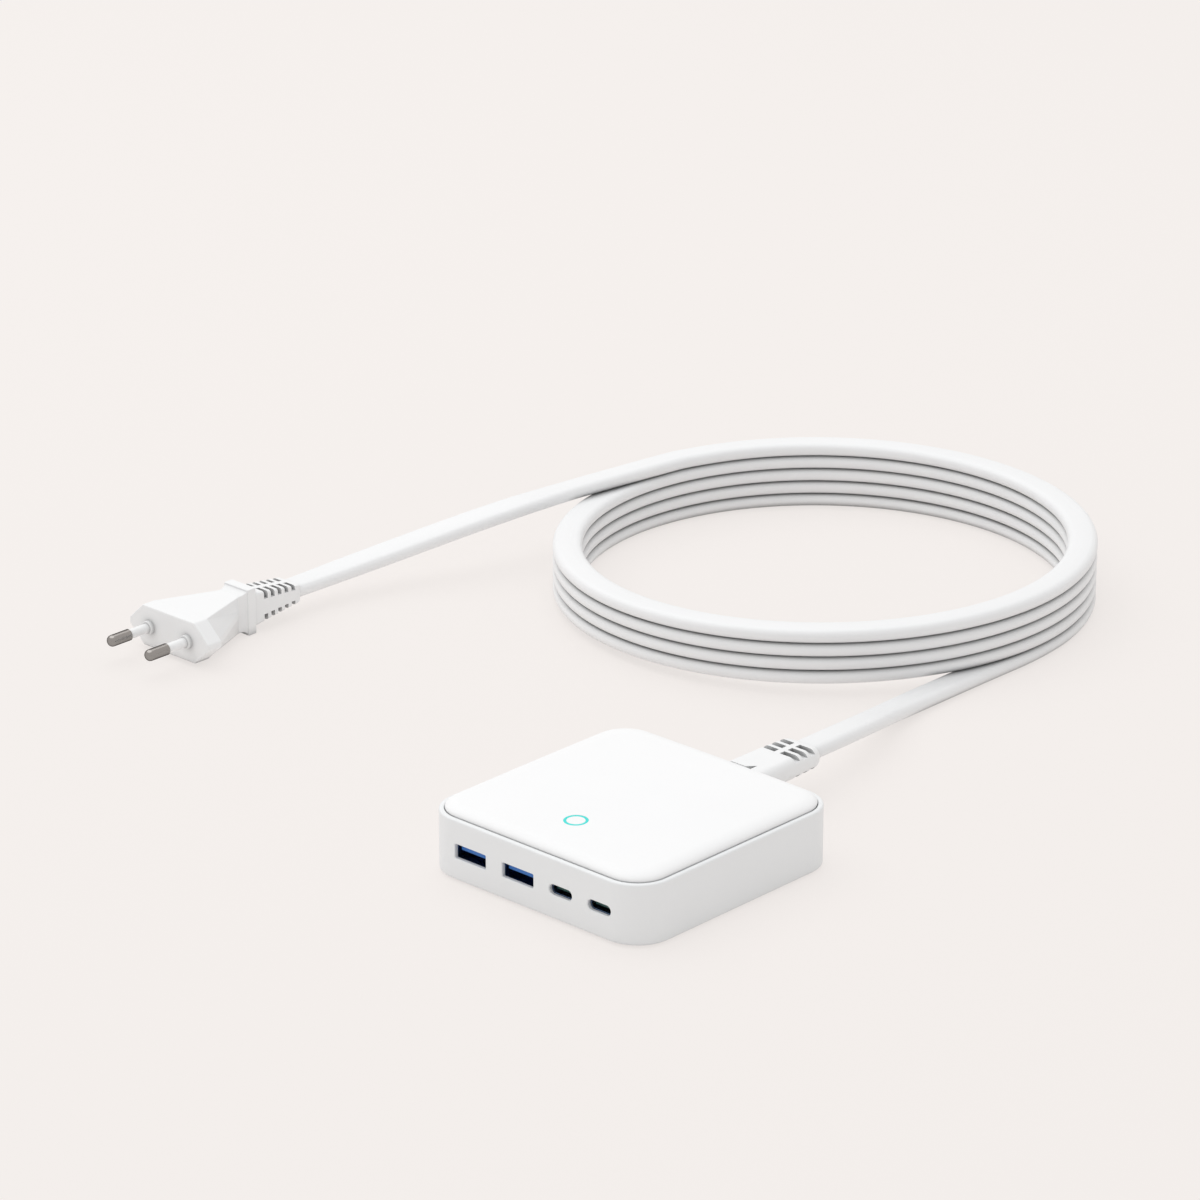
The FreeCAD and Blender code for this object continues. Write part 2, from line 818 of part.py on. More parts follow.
def plug_section(y, half_width, half_height, tip):
    """Section of the plug: flat above and below, with a blunt point at each side."""
    blunt = min(tip_half_height, half_height)
    quarter = ((tip, blunt), (half_width, half_height), (-half_width, half_height), (-tip, blunt))
    corners = quarter + tuple((-x, -z) for x, z in quarter)
    points = [V(plug_x + x, y, plug_axis_z + z) for x, z in corners]
    return Part.makePolygon(points + points[:1])


def contact_lines():
    return [plug_x + sx * contact_spacing / 2 for sx in (-1, 1)]


def plug_neck():
    """Taper behind the pin block, which curves up and out into the flange."""
    block_y = plug_face_y + block_length
    flange_y = plug_face_y + neck_length
    sections = [plug_section(block_y, face_half_width, face_half_height, tip_half_width - block_step)]
    for step in range(neck_blend_steps + 1):
        turn = math.pi / 2 * step / neck_blend_steps
        flare = 1 - math.cos(turn)
        y = flange_y - neck_blend * (1 - math.sin(turn))
        width = neck_half_width + flare * (flange_half_width - neck_half_width)
        height = neck_half_height + flare * (plug_axis_z - flange_round - neck_half_height)
        sections.append(plug_section(y, width, height, width))
    return Part.makeLoft(sections, True, True)


def plug_relief():
    relief_y = plug_rear_y - relief_length
    wires = []
    for y, height in ((relief_y, relief_start_height), (plug_rear_y, relief_end_height)):
        wires.append(across(y, relief_width, height, relief_corner, plug_x, plug_axis_z))
    relief = Part.makeLoft(wires, True, True)
    starts = slot_starts(plug_rear_y, plug_slot_end, plug_slots, plug_slot_pitch, plug_slot_width)
    return relief.cut(relief_slots(plug_x, plug_axis_z, starts, plug_slot_width, relief_half_height))


def plug_body():
    front = plug_face_y
    face = plug_section(front, face_half_width, face_half_height, tip_half_width)
    block = Part.Face(face).extrude(Y * block_length)
    flange_y = front + neck_length
    plate = across(flange_y, 2 * flange_half_width, 2 * plug_axis_z, flange_round, plug_x, plug_axis_z)
    flange = Part.Face(plate).extrude(Y * flange_thickness)
    rings = []
    bores = []
    for x in contact_lines():
        root = V(x, front, plug_axis_z)
        start = root - Y * base_ring_height
        rings.append(cylinder(base_ring_radius, start, root))
        bores.append(cylinder(contact_core_radius, start, root + Y * contact_embed))
    return fuse([block, plug_neck(), flange, plug_relief()] + rings).cut(bores)


def plug_pins():
    pins = []
    for x in contact_lines():
        tip = V(x, plug_face_y - contact_length, plug_axis_z)
        shoulder_y = tip.y + contact_tip_length
        root_y = plug_face_y + contact_embed
        blunt = contact_radius - contact_tip_round
        profile = [tip]
        for step in range(contact_tip_steps + 1):
            turn = math.pi / 2 * step / contact_tip_steps
            reach = blunt + contact_tip_round * math.sin(turn)
            depth = contact_tip_round * (1 - math.cos(turn))
            profile.append(tip + X * reach + Y * depth)
        profile.append(V(x + contact_radius, shoulder_y, plug_axis_z))
        profile.append(V(x + contact_core_radius, shoulder_y, plug_axis_z))
        profile.append(V(x + contact_core_radius, root_y, plug_axis_z))
        profile.append(V(x, root_y, plug_axis_z))
        face = Part.Face(Part.makePolygon(profile + profile[:1]))
        pins.append(face.revolve(tip, Y, 360))
    return Part.makeCompound(pins)


def plug_pin_sleeves():
    sleeves = []
    start_y = plug_face_y - contact_length + contact_tip_length
    end_y = plug_face_y - base_ring_height
    for x in contact_lines():
        ends = [V(x, start_y, plug_axis_z), V(x, end_y, plug_axis_z)]
        sleeve = cylinder(sleeve_outer_radius, *ends)
        sleeves.append(sleeve.cut(cylinder(contact_core_radius, *ends)))
    return Part.makeCompound(sleeves)


def cord_side():
    """Points down one round edge of the flat cord, as (reach, height) from its middle."""
    flat = (cord_width - cord_thickness) / 2
    turns = [math.pi / 2 - math.pi * step / cord_side_steps for step in range(cord_side_steps + 1)]
    return [(flat + cord_thickness / 2 * math.cos(t), cord_thickness / 2 * math.sin(t)) for t in turns]


def cord_section(centre, across_direction):
    right = [centre + across_direction * u + Z * v for u, v in cord_side()]
    left = [centre - across_direction * u - Z * v for u, v in cord_side()]
    points = right + left
    return Part.makePolygon(points + points[:1])


def rounded_path(points):
    """Straight runs joined by tangent arcs, each as large as its two runs allow."""
    edges = []
    last = points[0]
    for before, corner, after in zip(points, points[1:], points[2:]):
        run_in = corner.sub(before)
        run_out = after.sub(corner)
        turn = run_in.getAngle(run_out)
        setback = bend_share * min(run_in.Length, run_out.Length)
        radius = setback / math.tan(turn / 2)
        way_in = V(run_in).normalize()
        way_out = V(run_out).normalize()
        start = corner - way_in * setback
        end = corner + way_out * setback
        inward = (way_out - way_in).normalize()
        middle = corner + inward * (radius / math.cos(turn / 2) - radius)
        edges.append(Part.LineSegment(last, start).toShape())
        edges.append(Part.Arc(start, middle, end).toShape())
        last = end
        print("  bend radius", round(radius, 1), "mm")
    edges.append(Part.LineSegment(last, points[-1]).toShape())
    return Part.Wire(edges)


def cord_tube(name, points):
    """Flat cord along a route, kept level across its width."""
    print(name)
    path = rounded_path(points)
    heading = points[1].sub(points[0])
    side_way = V(heading.y, -heading.x, 0).normalize()
    section = cord_section(points[0], side_way)
    sweep = Part.BRepOffsetAPI.MakePipeShell(path)
    sweep.setBiNormalMode(Z)
    sweep.add(section)
    sweep.build()
    sweep.makeSolid()
    tube = sweep.shape()
    expected = Part.Face(section).Area * path.Length
    print("  length", round(path.Length, 1), "mm")
    print("  volume against section x length", round(tube.Volume / expected, 4))
    return tube


def coil_point(angle, level):
    turn = math.radians(angle)
    return V(coil_x + coil_radius * math.cos(turn), coil_y + coil_radius * math.sin(turn), level)


def layer_level(layer):
    """Middle height of a layer of the coil, counted from the lowest."""
    return (layer + 0.5) * cord_thickness


def exit_heading():
    turn = math.radians(exit_angle)
    return V(-math.sin(turn), math.cos(turn), 0)


def plug_lead_route():
    start = coil_point(exit_angle, layer_level(coil_turns)) + exit_heading() * stub_length
    onward = start + exit_heading() * plug_lead_first_run
    return [start, onward, V(*plug_lead_bend), V(plug_x, plug_rear_y, plug_axis_z)]


def stacked_turns(sweep_angle, start_angle, first_layer, last_layer):
    """Part of a ring made of turns that lie on each other, one lobe for each layer."""
    outer = []
    inner = []
    for layer in reversed(range(first_layer, last_layer)):
        side_points = cord_side() if layer == first_layer else cord_side()[:-1]
        outer += [V(u, 0, layer_level(layer) + v) for u, v in side_points]
    for layer in range(first_layer, last_layer):
        side_points = cord_side() if layer == last_layer - 1 else cord_side()[:-1]
        inner += [V(-u, 0, layer_level(layer) - v) for u, v in side_points]
    points = outer + inner
    profile = Part.Face(Part.makePolygon(points + points[:1]))
    profile.translate(V(coil_x + coil_radius, coil_y, 0))
    profile.rotate(V(coil_x, coil_y, 0), Z, start_angle)
    return profile.revolve(V(coil_x, coil_y, 0), Z, sweep_angle)


def cord_coil():
    """Flat half turns behind, and in front half turns that climb by one layer to the next."""
    back = stacked_turns(180, 0, 0, coil_turns)
    top = stacked_turns(exit_angle, 0, coil_turns, coil_turns + 1)
    front = stacked_turns(180, 180, 0, coil_turns)
    climb = math.degrees(math.atan2(cord_thickness, 2 * coil_radius))
    pivot = V(coil_x - coil_radius - cord_width / 2, coil_y, 0)
    front.rotate(pivot, Y, -climb)
    entry = Part.Face(cord_section(coil_point(0, layer_level(0)), X)).extrude(Y * -stub_length)
    leave = coil_point(exit_angle, layer_level(coil_turns))
    way = exit_heading()
    stub = Part.Face(cord_section(leave, V(way.y, -way.x, 0))).extrude(way * stub_length)
    return fuse([back, top, front, entry, stub])


def all_nodes():
    nodes = {
        "base_shell": base_shell(),
        "top_cover": top_cover(),
        "light_guide": light_guide(),
        "ring_cap": ring_cap(),
        "status_led": status_led(),
        "rubber_feet": rubber_feet(),
        "main_board": main_board(),
        "board_screws": board_screws(),
        "insulation_sheet": insulation_sheet(),
        "fuse": fuse_link(),
        "choke_core": choke_core(),
        "choke_windings": choke_windings(),
        "film_capacitor": standing_block(film_size, film_place, film_chamfer),
        "bridge_rectifier": standing_block(bridge_size, bridge_place, 0),
        "bulk_capacitors": bulk_capacitors(),
        "safety_capacitor": safety_capacitor(),
        "transformer_core": transformer_core(),
        "transformer_winding": transformer_winding(),
        "power_switch": power_switch(),
        "controller_chips": controller_chips(),
        "output_inductors": output_inductors(),
        "output_capacitors": output_capacitors(),
        "optocoupler": standing_block(opto_size, opto_place, 0),
        "thermal_pads": thermal_pads(),
        "heat_spreader": heat_spreader(),
        "inlet_body": inlet_body(),
        "inlet_pins": inlet_pins(),
        "connector_body": connector_body(),
        "connector_contacts": connector_contacts(),
        "cord_lead_charger": cord_tube("cord_lead_charger", [V(*point) for point in charger_lead_route]),
        "cord_coil": cord_coil(),
        "cord_lead_plug": cord_tube("cord_lead_plug", plug_lead_route()),
        "plug_body": plug_body(),
        "plug_pins": plug_pins(),
        "plug_pin_sleeves": plug_pin_sleeves(),
    }
    for place, x in usb_a_places.items():
        for piece, shape in usb_a_port(layout_spread * x).items():
            nodes[f"usb_a_{place}_{piece}"] = shape
    for place, x in usb_c_places.items():
        for piece, shape in usb_c_port(layout_spread * x).items():
            nodes[f"usb_c_{place}_{piece}"] = shape
    return nodes


os.makedirs("parts", exist_ok=True)
for node, shape in all_nodes().items():
    shape.exportStep(f"parts/{node}.step")
    state = "valid" if shape.isValid() else "NOT VALID"
    print(node, len(shape.Solids), "solid(s)", round(shape.Volume, 1), "mm3", state)
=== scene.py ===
# %% [markdown]
# # A desktop charging station and its mains lead
#
# The object is a low white box with four charging ports along its front edge, a crowned lid with a thin
# ring of light, and a flat mains lead that leaves the back, lies in a stack of turns and ends in a two-pin
# plug. The CAD model comes in as a fixed frame. Each step below dresses one part of it, at the same place
# and close to its size, so that edges are soft, surfaces have a finish and the cord is one long line.

# %% Load the frame
import bmesh
import bpy
import json
import math
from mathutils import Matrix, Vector


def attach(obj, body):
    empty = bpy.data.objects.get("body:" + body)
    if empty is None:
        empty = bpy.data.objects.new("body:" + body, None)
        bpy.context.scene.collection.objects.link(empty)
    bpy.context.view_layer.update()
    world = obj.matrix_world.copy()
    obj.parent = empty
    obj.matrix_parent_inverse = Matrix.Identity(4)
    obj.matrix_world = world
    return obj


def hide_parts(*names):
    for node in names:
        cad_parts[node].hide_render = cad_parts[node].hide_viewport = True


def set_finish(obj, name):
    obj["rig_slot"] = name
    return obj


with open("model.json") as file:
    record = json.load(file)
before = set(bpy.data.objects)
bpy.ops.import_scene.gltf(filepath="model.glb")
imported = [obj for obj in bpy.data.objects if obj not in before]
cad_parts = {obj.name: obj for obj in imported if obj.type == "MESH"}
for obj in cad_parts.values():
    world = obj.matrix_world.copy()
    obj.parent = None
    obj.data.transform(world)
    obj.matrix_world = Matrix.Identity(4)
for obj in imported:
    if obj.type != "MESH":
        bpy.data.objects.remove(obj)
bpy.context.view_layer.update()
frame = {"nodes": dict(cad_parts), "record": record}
mm = 0.001

# %% [markdown]
# ## The camera
#
# A photograph taken from far away with a long lens keeps parallel edges nearly parallel. The camera stands
# about one and three quarter metres off, above the desk and to the right of the ports, and looks at a point
# on the desk inside the coil. A long focal length fills the square frame from there.

# %% Camera
eye = Vector((958.8, -1040.4, 648.9)) * mm
target = Vector((-156.3, 153.4, 0.0)) * mm
camera_data = bpy.data.cameras.new("camera")
camera_data.lens = 152.95
camera_data.sensor_width = 36.0
camera = bpy.data.objects.new("camera", camera_data)
bpy.context.scene.collection.objects.link(camera)
camera.location = eye
camera.rotation_euler = (target - eye).to_track_quat("-Z", "Y").to_euler()
bpy.context.scene.camera = camera
print("camera to target:", round((target - eye).length, 3), "m")

# %% [markdown]
# ## The route of the flat cord
#
# The cord is one line from the grip at the box to the plug. Near the box it drops to the desk, then it
# winds round four times and a half, each turn on top of the last, and from the top layer it falls away to
# the plug. A NURBS spline of order three follows its control points smoothly. A ring of control points
# gives a curve slightly inside it, so the ring is drawn a little larger than the coil.

# %% Control points of the route, in millimetres
cord_width = 10.3
cord_pitch = 4.8
coil_middle = (-104.7, 211.5)
coil_radius = 88.65
turns = 4
exit_angle = 172.0
steps_per_turn = 24
step_angle = 360.0 / steps_per_turn
spline_share = 0.9915
ring_radius = coil_radius / spline_share


def layer_height(angle):
    """Flat behind, and in front a climb of one cord thickness to the next layer."""
    layer, rest = divmod(angle, 360.0)
    height = (layer + 0.5) * cord_pitch
    if rest > 180.0:
        height += cord_pitch * (1 + math.cos(math.radians(rest))) / 2
    return height


def coil_point(angle):
    turn = math.radians(angle)
    x = coil_middle[0] + ring_radius * math.cos(turn)
    y = coil_middle[1] + ring_radius * math.sin(turn)
    return (x, y, layer_height(angle))


route = [(0.0, 80.0, 12.5), (0.0, 103.5, 12.5)]
route += [(-15.7, 145.0, 2.4), (-15.7, 168.5, 2.4), (-15.7, 190.0, 2.4)]
last_angle = turns * 360.0 + exit_angle
count = int(last_angle // step_angle)
route += [coil_point(step * step_angle) for step in range(count + 1)]
route += [(-192.8, 224.0, 21.6), (-196.0, 202.0, 21.6), (-198.8, 181.3, 21.6), (-203.2, 150.1, 20.8)]
route += [(-226.5, 101.0, 8.3), (-226.5, 73.0, 8.3)]
print("control points:", len(route))

# %% The spline, and the points read from it
curve = bpy.data.curves.new("cord_route", "CURVE")
curve.dimensions = "3D"
spline = curve.splines.new("NURBS")
spline.points.add(len(route) - 1)
for point, place in zip(spline.points, route):
    point.co = (place[0] * mm, place[1] * mm, place[2] * mm, 1.0)
spline.order_u = 3
spline.use_endpoint_u = True
spline.resolution_u = 6
route_object = bpy.data.objects.new("cord_route", curve)
bpy.context.scene.collection.objects.link(route_object)
bpy.context.view_layer.update()
line = bpy.data.meshes.new_from_object(route_object)
path = [vertex.co.copy() for vertex in line.vertices]
bpy.data.objects.remove(route_object)
bpy.data.meshes.remove(line)
cord_length = sum((b - a).length for a, b in zip(path, path[1:]))
print("cord length:", round(cord_length, 3), "m from", len(path), "points")

# %% [markdown]
# ## The cord's jacket
#
# A flat two-core cord has a section with straight faces above and below and round sides. Carried along the
# route it must stay level, so each section stands across the line of travel and keeps its width horizontal.
# Only the free stretch between the coil and the plug leans a little, as a flat cord does where nothing
# holds it. The section is a hair thinner than the step from layer to layer, which leaves the fine dark
# grooves that show between the turns. A UV map runs along the cord and round it, for the jacket's finish.

# %% Section and tube
cord_thickness = 4.7
arc_steps = 9


def cord_section():
    """Points round the section, as (across, up) in metres."""
    radius = cord_thickness / 2
    reach = cord_width / 2 - radius
    points = []
    for side, start in ((1, -90.0), (-1, 90.0)):
        for step in range(arc_steps + 1):
            angle = math.radians(start + 180.0 * step / arc_steps)
            points.append(((side * reach + radius * math.cos(angle)) * mm, radius * math.sin(angle) * mm))
    return points


section = cord_section()
around = len(section)
girth = [0.0]
for here, there in zip(section, section[1:] + section[:1]):
    girth.append(girth[-1] + math.dist(here, there))
vertices = []
travel = [0.0]
uv_step = 100 * mm
free_length = 115.0 * mm
lean_most = math.radians(12.0)
for index, place in enumerate(path):
    before = path[max(index - 1, 0)]
    after = path[min(index + 1, len(path) - 1)]
    heading = (after - before).normalized()
    across = heading.cross(Vector((0, 0, 1))).normalized()
    rise = across.cross(heading)
    if index:
        travel.append(travel[-1] + (place - path[index - 1]).length)
    to_plug = min(max(cord_length - travel[-1], 0.0), free_length)
    lean = lean_most * math.sin(math.pi * to_plug / free_length)
    over = across * math.cos(lean) + rise * math.sin(lean)
    up = rise * math.cos(lean) - across * math.sin(lean)
    vertices += [place + over * u + up * v for u, v in section]
faces = []
for ring in range(len(path) - 1):
    for place in range(around):
        a = ring * around + place
        b = ring * around + (place + 1) % around
        faces.append((a, b, b + around, a + around))
faces.append(tuple(reversed(range(around))))
faces.append(tuple(range((len(path) - 1) * around, len(path) * around)))
jacket = bpy.data.meshes.new("mains_cord")
jacket.from_pydata(vertices, [], faces)
uv = jacket.uv_layers.new(name="along")
for face in jacket.polygons:
    for loop in face.loop_indices:
        vertex = jacket.loops[loop].vertex_index
        ring, place = divmod(vertex, around)
        places = [jacket.loops[other].vertex_index % around for other in face.loop_indices]
        if place == 0 and around - 1 in places:
            place = around
        uv.data[loop].uv = (travel[ring] / uv_step, girth[place] / girth[-1])
cord = bpy.data.objects.new("mains_cord", jacket)
bpy.context.scene.collection.objects.link(cord)
bpy.ops.object.select_all(action="DESELECT")
bpy.context.view_layer.objects.active = cord
cord.select_set(True)
bpy.ops.object.mode_set(mode="EDIT")
bpy.ops.mesh.select_all(action="SELECT")
bpy.ops.mesh.normals_make_consistent(inside=False)
bpy.ops.object.mode_set(mode="OBJECT")
bpy.ops.object.shade_smooth_by_angle(angle=math.radians(50))
print("cord faces:", len(jacket.polygons))

# %% [markdown]
# ## Small helpers for modelling by hand
#
# Every piece starts as a primitive at its size and place and is then shaped in edit mode. The helpers below
# do what a modeller's hand does: pick edges, faces or corners by where they are, cut one shape out of
# another, and leave the piece with soft shading that still keeps flat faces flat.

# %% Helpers
KINDS = {"VERT": "verts", "EDGE": "edges", "FACE": "faces"}
tolerance = 0.01


def block(name, low, high):
    """A cube scaled to a box between two corners, in millimetres, ready in edit mode."""
    bpy.ops.object.select_all(action="DESELECT")
    low = Vector(low) * mm
    high = Vector(high) * mm
    bpy.ops.mesh.primitive_cube_add(size=1, location=(low + high) / 2)
    piece = bpy.context.object
    piece.name = name
    piece.data.name = name
    piece.scale = high - low
    bpy.ops.object.transform_apply(location=True, rotation=True, scale=True)
    bpy.ops.object.mode_set(mode="EDIT")
    return piece


def rod(name, radius, start, end, sides=64):
    """A cylinder between two points on one axis, in millimetres, ready in edit mode."""
    bpy.ops.object.select_all(action="DESELECT")
    start = Vector(start) * mm
    end = Vector(end) * mm
    turn = (end - start).to_track_quat("Z", "Y").to_euler()
    depth = (end - start).length
    bpy.ops.mesh.primitive_cylinder_add(vertices=sides, radius=radius * mm, depth=depth,
                                        location=(start + end) / 2, rotation=turn)
    piece = bpy.context.object
    piece.name = name
    piece.data.name = name
    bpy.ops.object.transform_apply(location=True, rotation=True, scale=True)
    bpy.ops.object.mode_set(mode="EDIT")
    return piece


def middle(element):
    """Middle of an edge, face or corner, in millimetres."""
    corners = [element] if isinstance(element, bmesh.types.BMVert) else element.verts
    return sum((corner.co for corner in corners), Vector()) / (len(corners) * mm)


def pick(kind, test):
    """Selects what passes a test of its place, and nothing else, on the piece in edit mode."""
    bpy.ops.mesh.select_mode(type=kind)
    bpy.ops.mesh.select_all(action="DESELECT")
    piece = bpy.context.object
    mesh = bmesh.from_edit_mesh(piece.data)
    found = 0
    for element in getattr(mesh, KINDS[kind]):
        if test(element):
            element.select_set(True)
            found += 1
    mesh.select_flush_mode()
    bmesh.update_edit_mesh(piece.data)
    return found


def near(value, target_value):
    return abs(value - target_value) < tolerance


def along(edge, axis):
    """True for an edge that runs along one axis: 0, 1 or 2."""
    way = edge.verts[1].co - edge.verts[0].co
    return abs(way[axis]) > 0.999 * way.length


def level_loop(edge, height):
    return all(near(vertex.co.z / mm, height) for vertex in edge.verts)


def round_over(radius, segments):
    bpy.ops.mesh.bevel(offset=radius * mm, offset_type="OFFSET", segments=segments, affect="EDGES",
                       profile=0.5)


def push(x=0.0, y=0.0, z=0.0):
    """Extrudes what is selected by a step in millimetres."""
    bpy.ops.mesh.extrude_region_move(TRANSFORM_OT_translate={"value": (x * mm, y * mm, z * mm)})


def leave_edit():
    bpy.ops.object.mode_set(mode="OBJECT")


def use(piece):
    bpy.ops.object.select_all(action="DESELECT")
    bpy.context.view_layer.objects.active = piece
    piece.select_set(True)


def combine(piece, helper, operation):
    """Cuts a helper out of a piece, or adds it, and removes the helper."""
    use(piece)
    step = piece.modifiers.new("combine", "BOOLEAN")
    step.operation = operation
    step.solver = "EXACT"
    step.object = helper
    bpy.ops.object.modifier_apply(modifier=step.name)
    bpy.data.objects.remove(helper)


def join(pieces):
    use(pieces[0])
    for piece in pieces[1:]:
        piece.select_set(True)
    bpy.ops.object.join()
    return pieces[0]


def finish_surface(piece, angle=35.0):
    """Soft shading below an angle, with normals that keep flat faces flat."""
    use(piece)
    bpy.ops.object.shade_smooth_by_angle(angle=math.radians(angle))
    step = piece.modifiers.new("normals", "WEIGHTED_NORMAL")
    step.keep_sharp = True
    bpy.ops.object.modifier_apply(modifier=step.name)
    print(piece.name, len(piece.data.polygons), "faces")


print("helpers ready")

# %% [markdown]
# ## The casing
#
# The lower casing is one moulded tray: a square with generous upright corners, a soft lower edge, and a
# thin rim with a step inside it where the lid sits. A cube gets there with two insets and four bevels: for
# the corners, for both edges of the rim and for the lower edge. Insets keep the rim the same width round
# the corners, which scaling the top face would not do.

# %% Tray
side_half = 45.0
corner_radius = 12.5
foot_height = 0.5
rim_top = 20.2
rim_width = 1.7
rim_round = 0.7
rim_inner_round = 0.3
lower_round = 0.7
ledge_depth = 1.8
wall = 3.0
floor_top = 2.8
tray = block("casing_tray", (-side_half, -side_half, foot_height), (side_half, side_half, rim_top))
pick("EDGE", lambda edge: along(edge, 2))
round_over(corner_radius, 24)
pick("EDGE", lambda edge: level_loop(edge, rim_top))
round_over(rim_round, 4)
pick("FACE", lambda face: near(middle(face).z, rim_top))
bpy.ops.mesh.inset(thickness=(rim_width - rim_round) * mm, use_even_offset=True)
push(z=-ledge_depth)
bpy.ops.mesh.inset(thickness=(wall - rim_width) * mm, use_even_offset=True)
push(z=floor_top - rim_top + ledge_depth)
pick("EDGE", lambda edge: level_loop(edge, foot_height))
round_over(lower_round, 4)


def inner_rim(edge):
    """True for the rim's edge above the ledge, where the rim's flat top meets an upright face."""
    upright = any(abs(face.normal.z) < 0.1 for face in edge.link_faces)
    return level_loop(edge, rim_top) and upright


pick("EDGE", inner_rim)
round_over(rim_inner_round, 3)
leave_edit()
print("tray:", len(tray.data.polygons), "faces before its openings")

# %% [markdown]
# ## Openings for the ports and the inlet
#
# Each port stands behind the front wall, which frames it like a small window. Two helpers do this for each
# port: a shallow box cut from inside, where the metal mouth sits, and a rounded outline cut right through.
# The outline grows a little towards the outside, which breaks the edge of the opening. The mains inlet at
# the back has the shape of a figure eight, so two cylinders and a block between them cut it.

# %% Port openings
port_height = 10.05
wide_port_places = (-24.6, -4.8)
small_port_places = (12.8, 28.5)
wide_mouth = 13.1
small_mouth = 8.94
skin = 1.3
edge_break = 0.25
pocket_margin = 1.2
pocket_half = 4.05


def port_opening(x, width, height, radius, segments):
    cutter = block("cutter", (x - width / 2, -side_half + edge_break, port_height - height / 2),
                   (x + width / 2, -side_half + wall + 1, port_height + height / 2))
    pick("EDGE", lambda edge: along(edge, 1))
    round_over(radius, segments)
    pick("FACE", lambda face: near(middle(face).y, -side_half + edge_break))
    push(y=-2 * edge_break)
    wider = (width + 4 * edge_break) / width
    taller = (height + 4 * edge_break) / height
    centre = (x * mm, (-side_half - edge_break) * mm, port_height * mm)
    bpy.ops.transform.resize(value=(wider, 1, taller), center_override=centre)
    leave_edit()
    return cutter


mouths = [(x, wide_mouth) for x in wide_port_places] + [(x, small_mouth) for x in small_port_places]
for x, width in mouths:
    reach = width / 2 + pocket_margin
    pocket = block("cutter", (x - reach, -side_half + skin, port_height - pocket_half),
                   (x + reach, -side_half + wall + pocket_margin, port_height + pocket_half))
    leave_edit()
    combine(tray, pocket, "DIFFERENCE")
for x in wide_port_places:
    combine(tray, port_opening(x, width=12.9, height=4.7, radius=0.4, segments=4), "DIFFERENCE")
for x in small_port_places:
    combine(tray, port_opening(x, width=9.3, height=3.4, radius=1.69, segments=10), "DIFFERENCE")
print("tray openings cut:", len(wide_port_places) + len(small_port_places))

# %% Mains inlet opening
inlet_height = 11.2
lobe_reach = 4.3
lobe_radius = 3.9
waist_half = 2.7
cut_from = side_half - wall - 1
cut_to = side_half + 1
for x in (-lobe_reach, lobe_reach):
    lobe = rod("cutter", lobe_radius, (x, cut_from, inlet_height), (x, cut_to, inlet_height))
    leave_edit()
    combine(tray, lobe, "DIFFERENCE")
waist = block("cutter", (-lobe_reach, cut_from, inlet_height - waist_half),
              (lobe_reach, cut_to, inlet_height + waist_half))
leave_edit()
combine(tray, waist, "DIFFERENCE")
finish_surface(tray)
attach(tray, "root")
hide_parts("base_shell")
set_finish(tray, "shell_white")

# %% [markdown]
# ## The lid
#
# The lid is a cushion of hard plastic: nearly flat, highest in its middle, with an edge that rolls down to
# the seam over five millimetres and tucks in a little below it. A bevel is always a quarter circle, so the
# block starts too tall, gets a bevel as wide as the roll, and is then pressed down. The same step lays the
# top on a very large ball. Cuts across the top give it the points that this needs.

# %% Lid
lid_half = 43.15
lid_corner = 10.65
ledge = rim_top - ledge_depth
crown_top = 23.1
crown_radius = 2000.0
roll_start = 20.4
roll_width = 5.0
tall_top = roll_start + roll_width
tuck_steps = ((0.2, 0.04), (0.5, 0.12))
above_ledge = ledge + 0.5
lid = block("crowned_lid", (-lid_half, -lid_half, ledge), (lid_half, lid_half, tall_top))
pick("EDGE", lambda edge: along(edge, 2))
round_over(lid_corner, 20)
pick("EDGE", lambda edge: level_loop(edge, tall_top))
round_over(roll_width, 12)
for below, tuck in tuck_steps:
    height = roll_start - below
    bpy.ops.mesh.select_all(action="SELECT")
    bpy.ops.mesh.bisect(plane_co=(0, 0, height * mm), plane_no=(0, 0, 1))
    pick("VERT", lambda vertex: vertex.co.z / mm < height + tolerance)
    share = 1 - tuck / lid_half
    bpy.ops.transform.resize(value=(share, share, 1), center_override=(0, 0, 0))
cut_step = 4
cut_places = [cut_step * step for step in range(-10, 11)]
for axis in (0, 1):
    for place in cut_places:
        pick("FACE", lambda face: middle(face).z > above_ledge)
        plane = [0.0, 0.0, 0.0]
        plane[axis] = place * mm
        normal = [0.0, 0.0, 0.0]
        normal[axis] = 1.0
        bpy.ops.mesh.bisect(plane_co=plane, plane_no=normal)
leave_edit()


def crown_height(x, y):
    """Height of the ball that the lid's top lies on, in millimetres."""
    return crown_top - (x * x + y * y) / (2 * crown_radius)


for vertex in lid.data.vertices:
    x, y, z = vertex.co / mm
    if z > roll_start:
        share = (z - roll_start) / roll_width
        vertex.co.z = (roll_start + share * (crown_height(x, y) - roll_start)) * mm
print("lid edge:", round(crown_height(lid_half, 0), 2), "mm high, middle:", crown_top, "mm")

# %% [markdown]
# ## The ring of light
#
# A clear cup under the lid shows only its rim, as a thin ring round a white disc. The lid gets a round
# hole, the ring stands in it flush with the crown, and the disc closes the middle. Each is a turned shape,
# so a cylinder with a small bevel is the right start.

# %% Light ring and disc
light_y = -24.5
glow_radius = 3.85
glow_width = 0.9
glow_height = 2.4
cup_depth = 1.2
disc_height = 1.19
glow_round = 0.08
disc_round = 0.1
slip = 0.02
round_sides = 96
light_top = crown_height(0, light_y)
hole = rod("cutter", glow_radius, (0, light_y, ledge - 1), (0, light_y, crown_top + 1), round_sides)
leave_edit()
combine(lid, hole, "DIFFERENCE")
finish_surface(lid)
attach(lid, "root")
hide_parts("top_cover")
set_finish(lid, "cover_white")

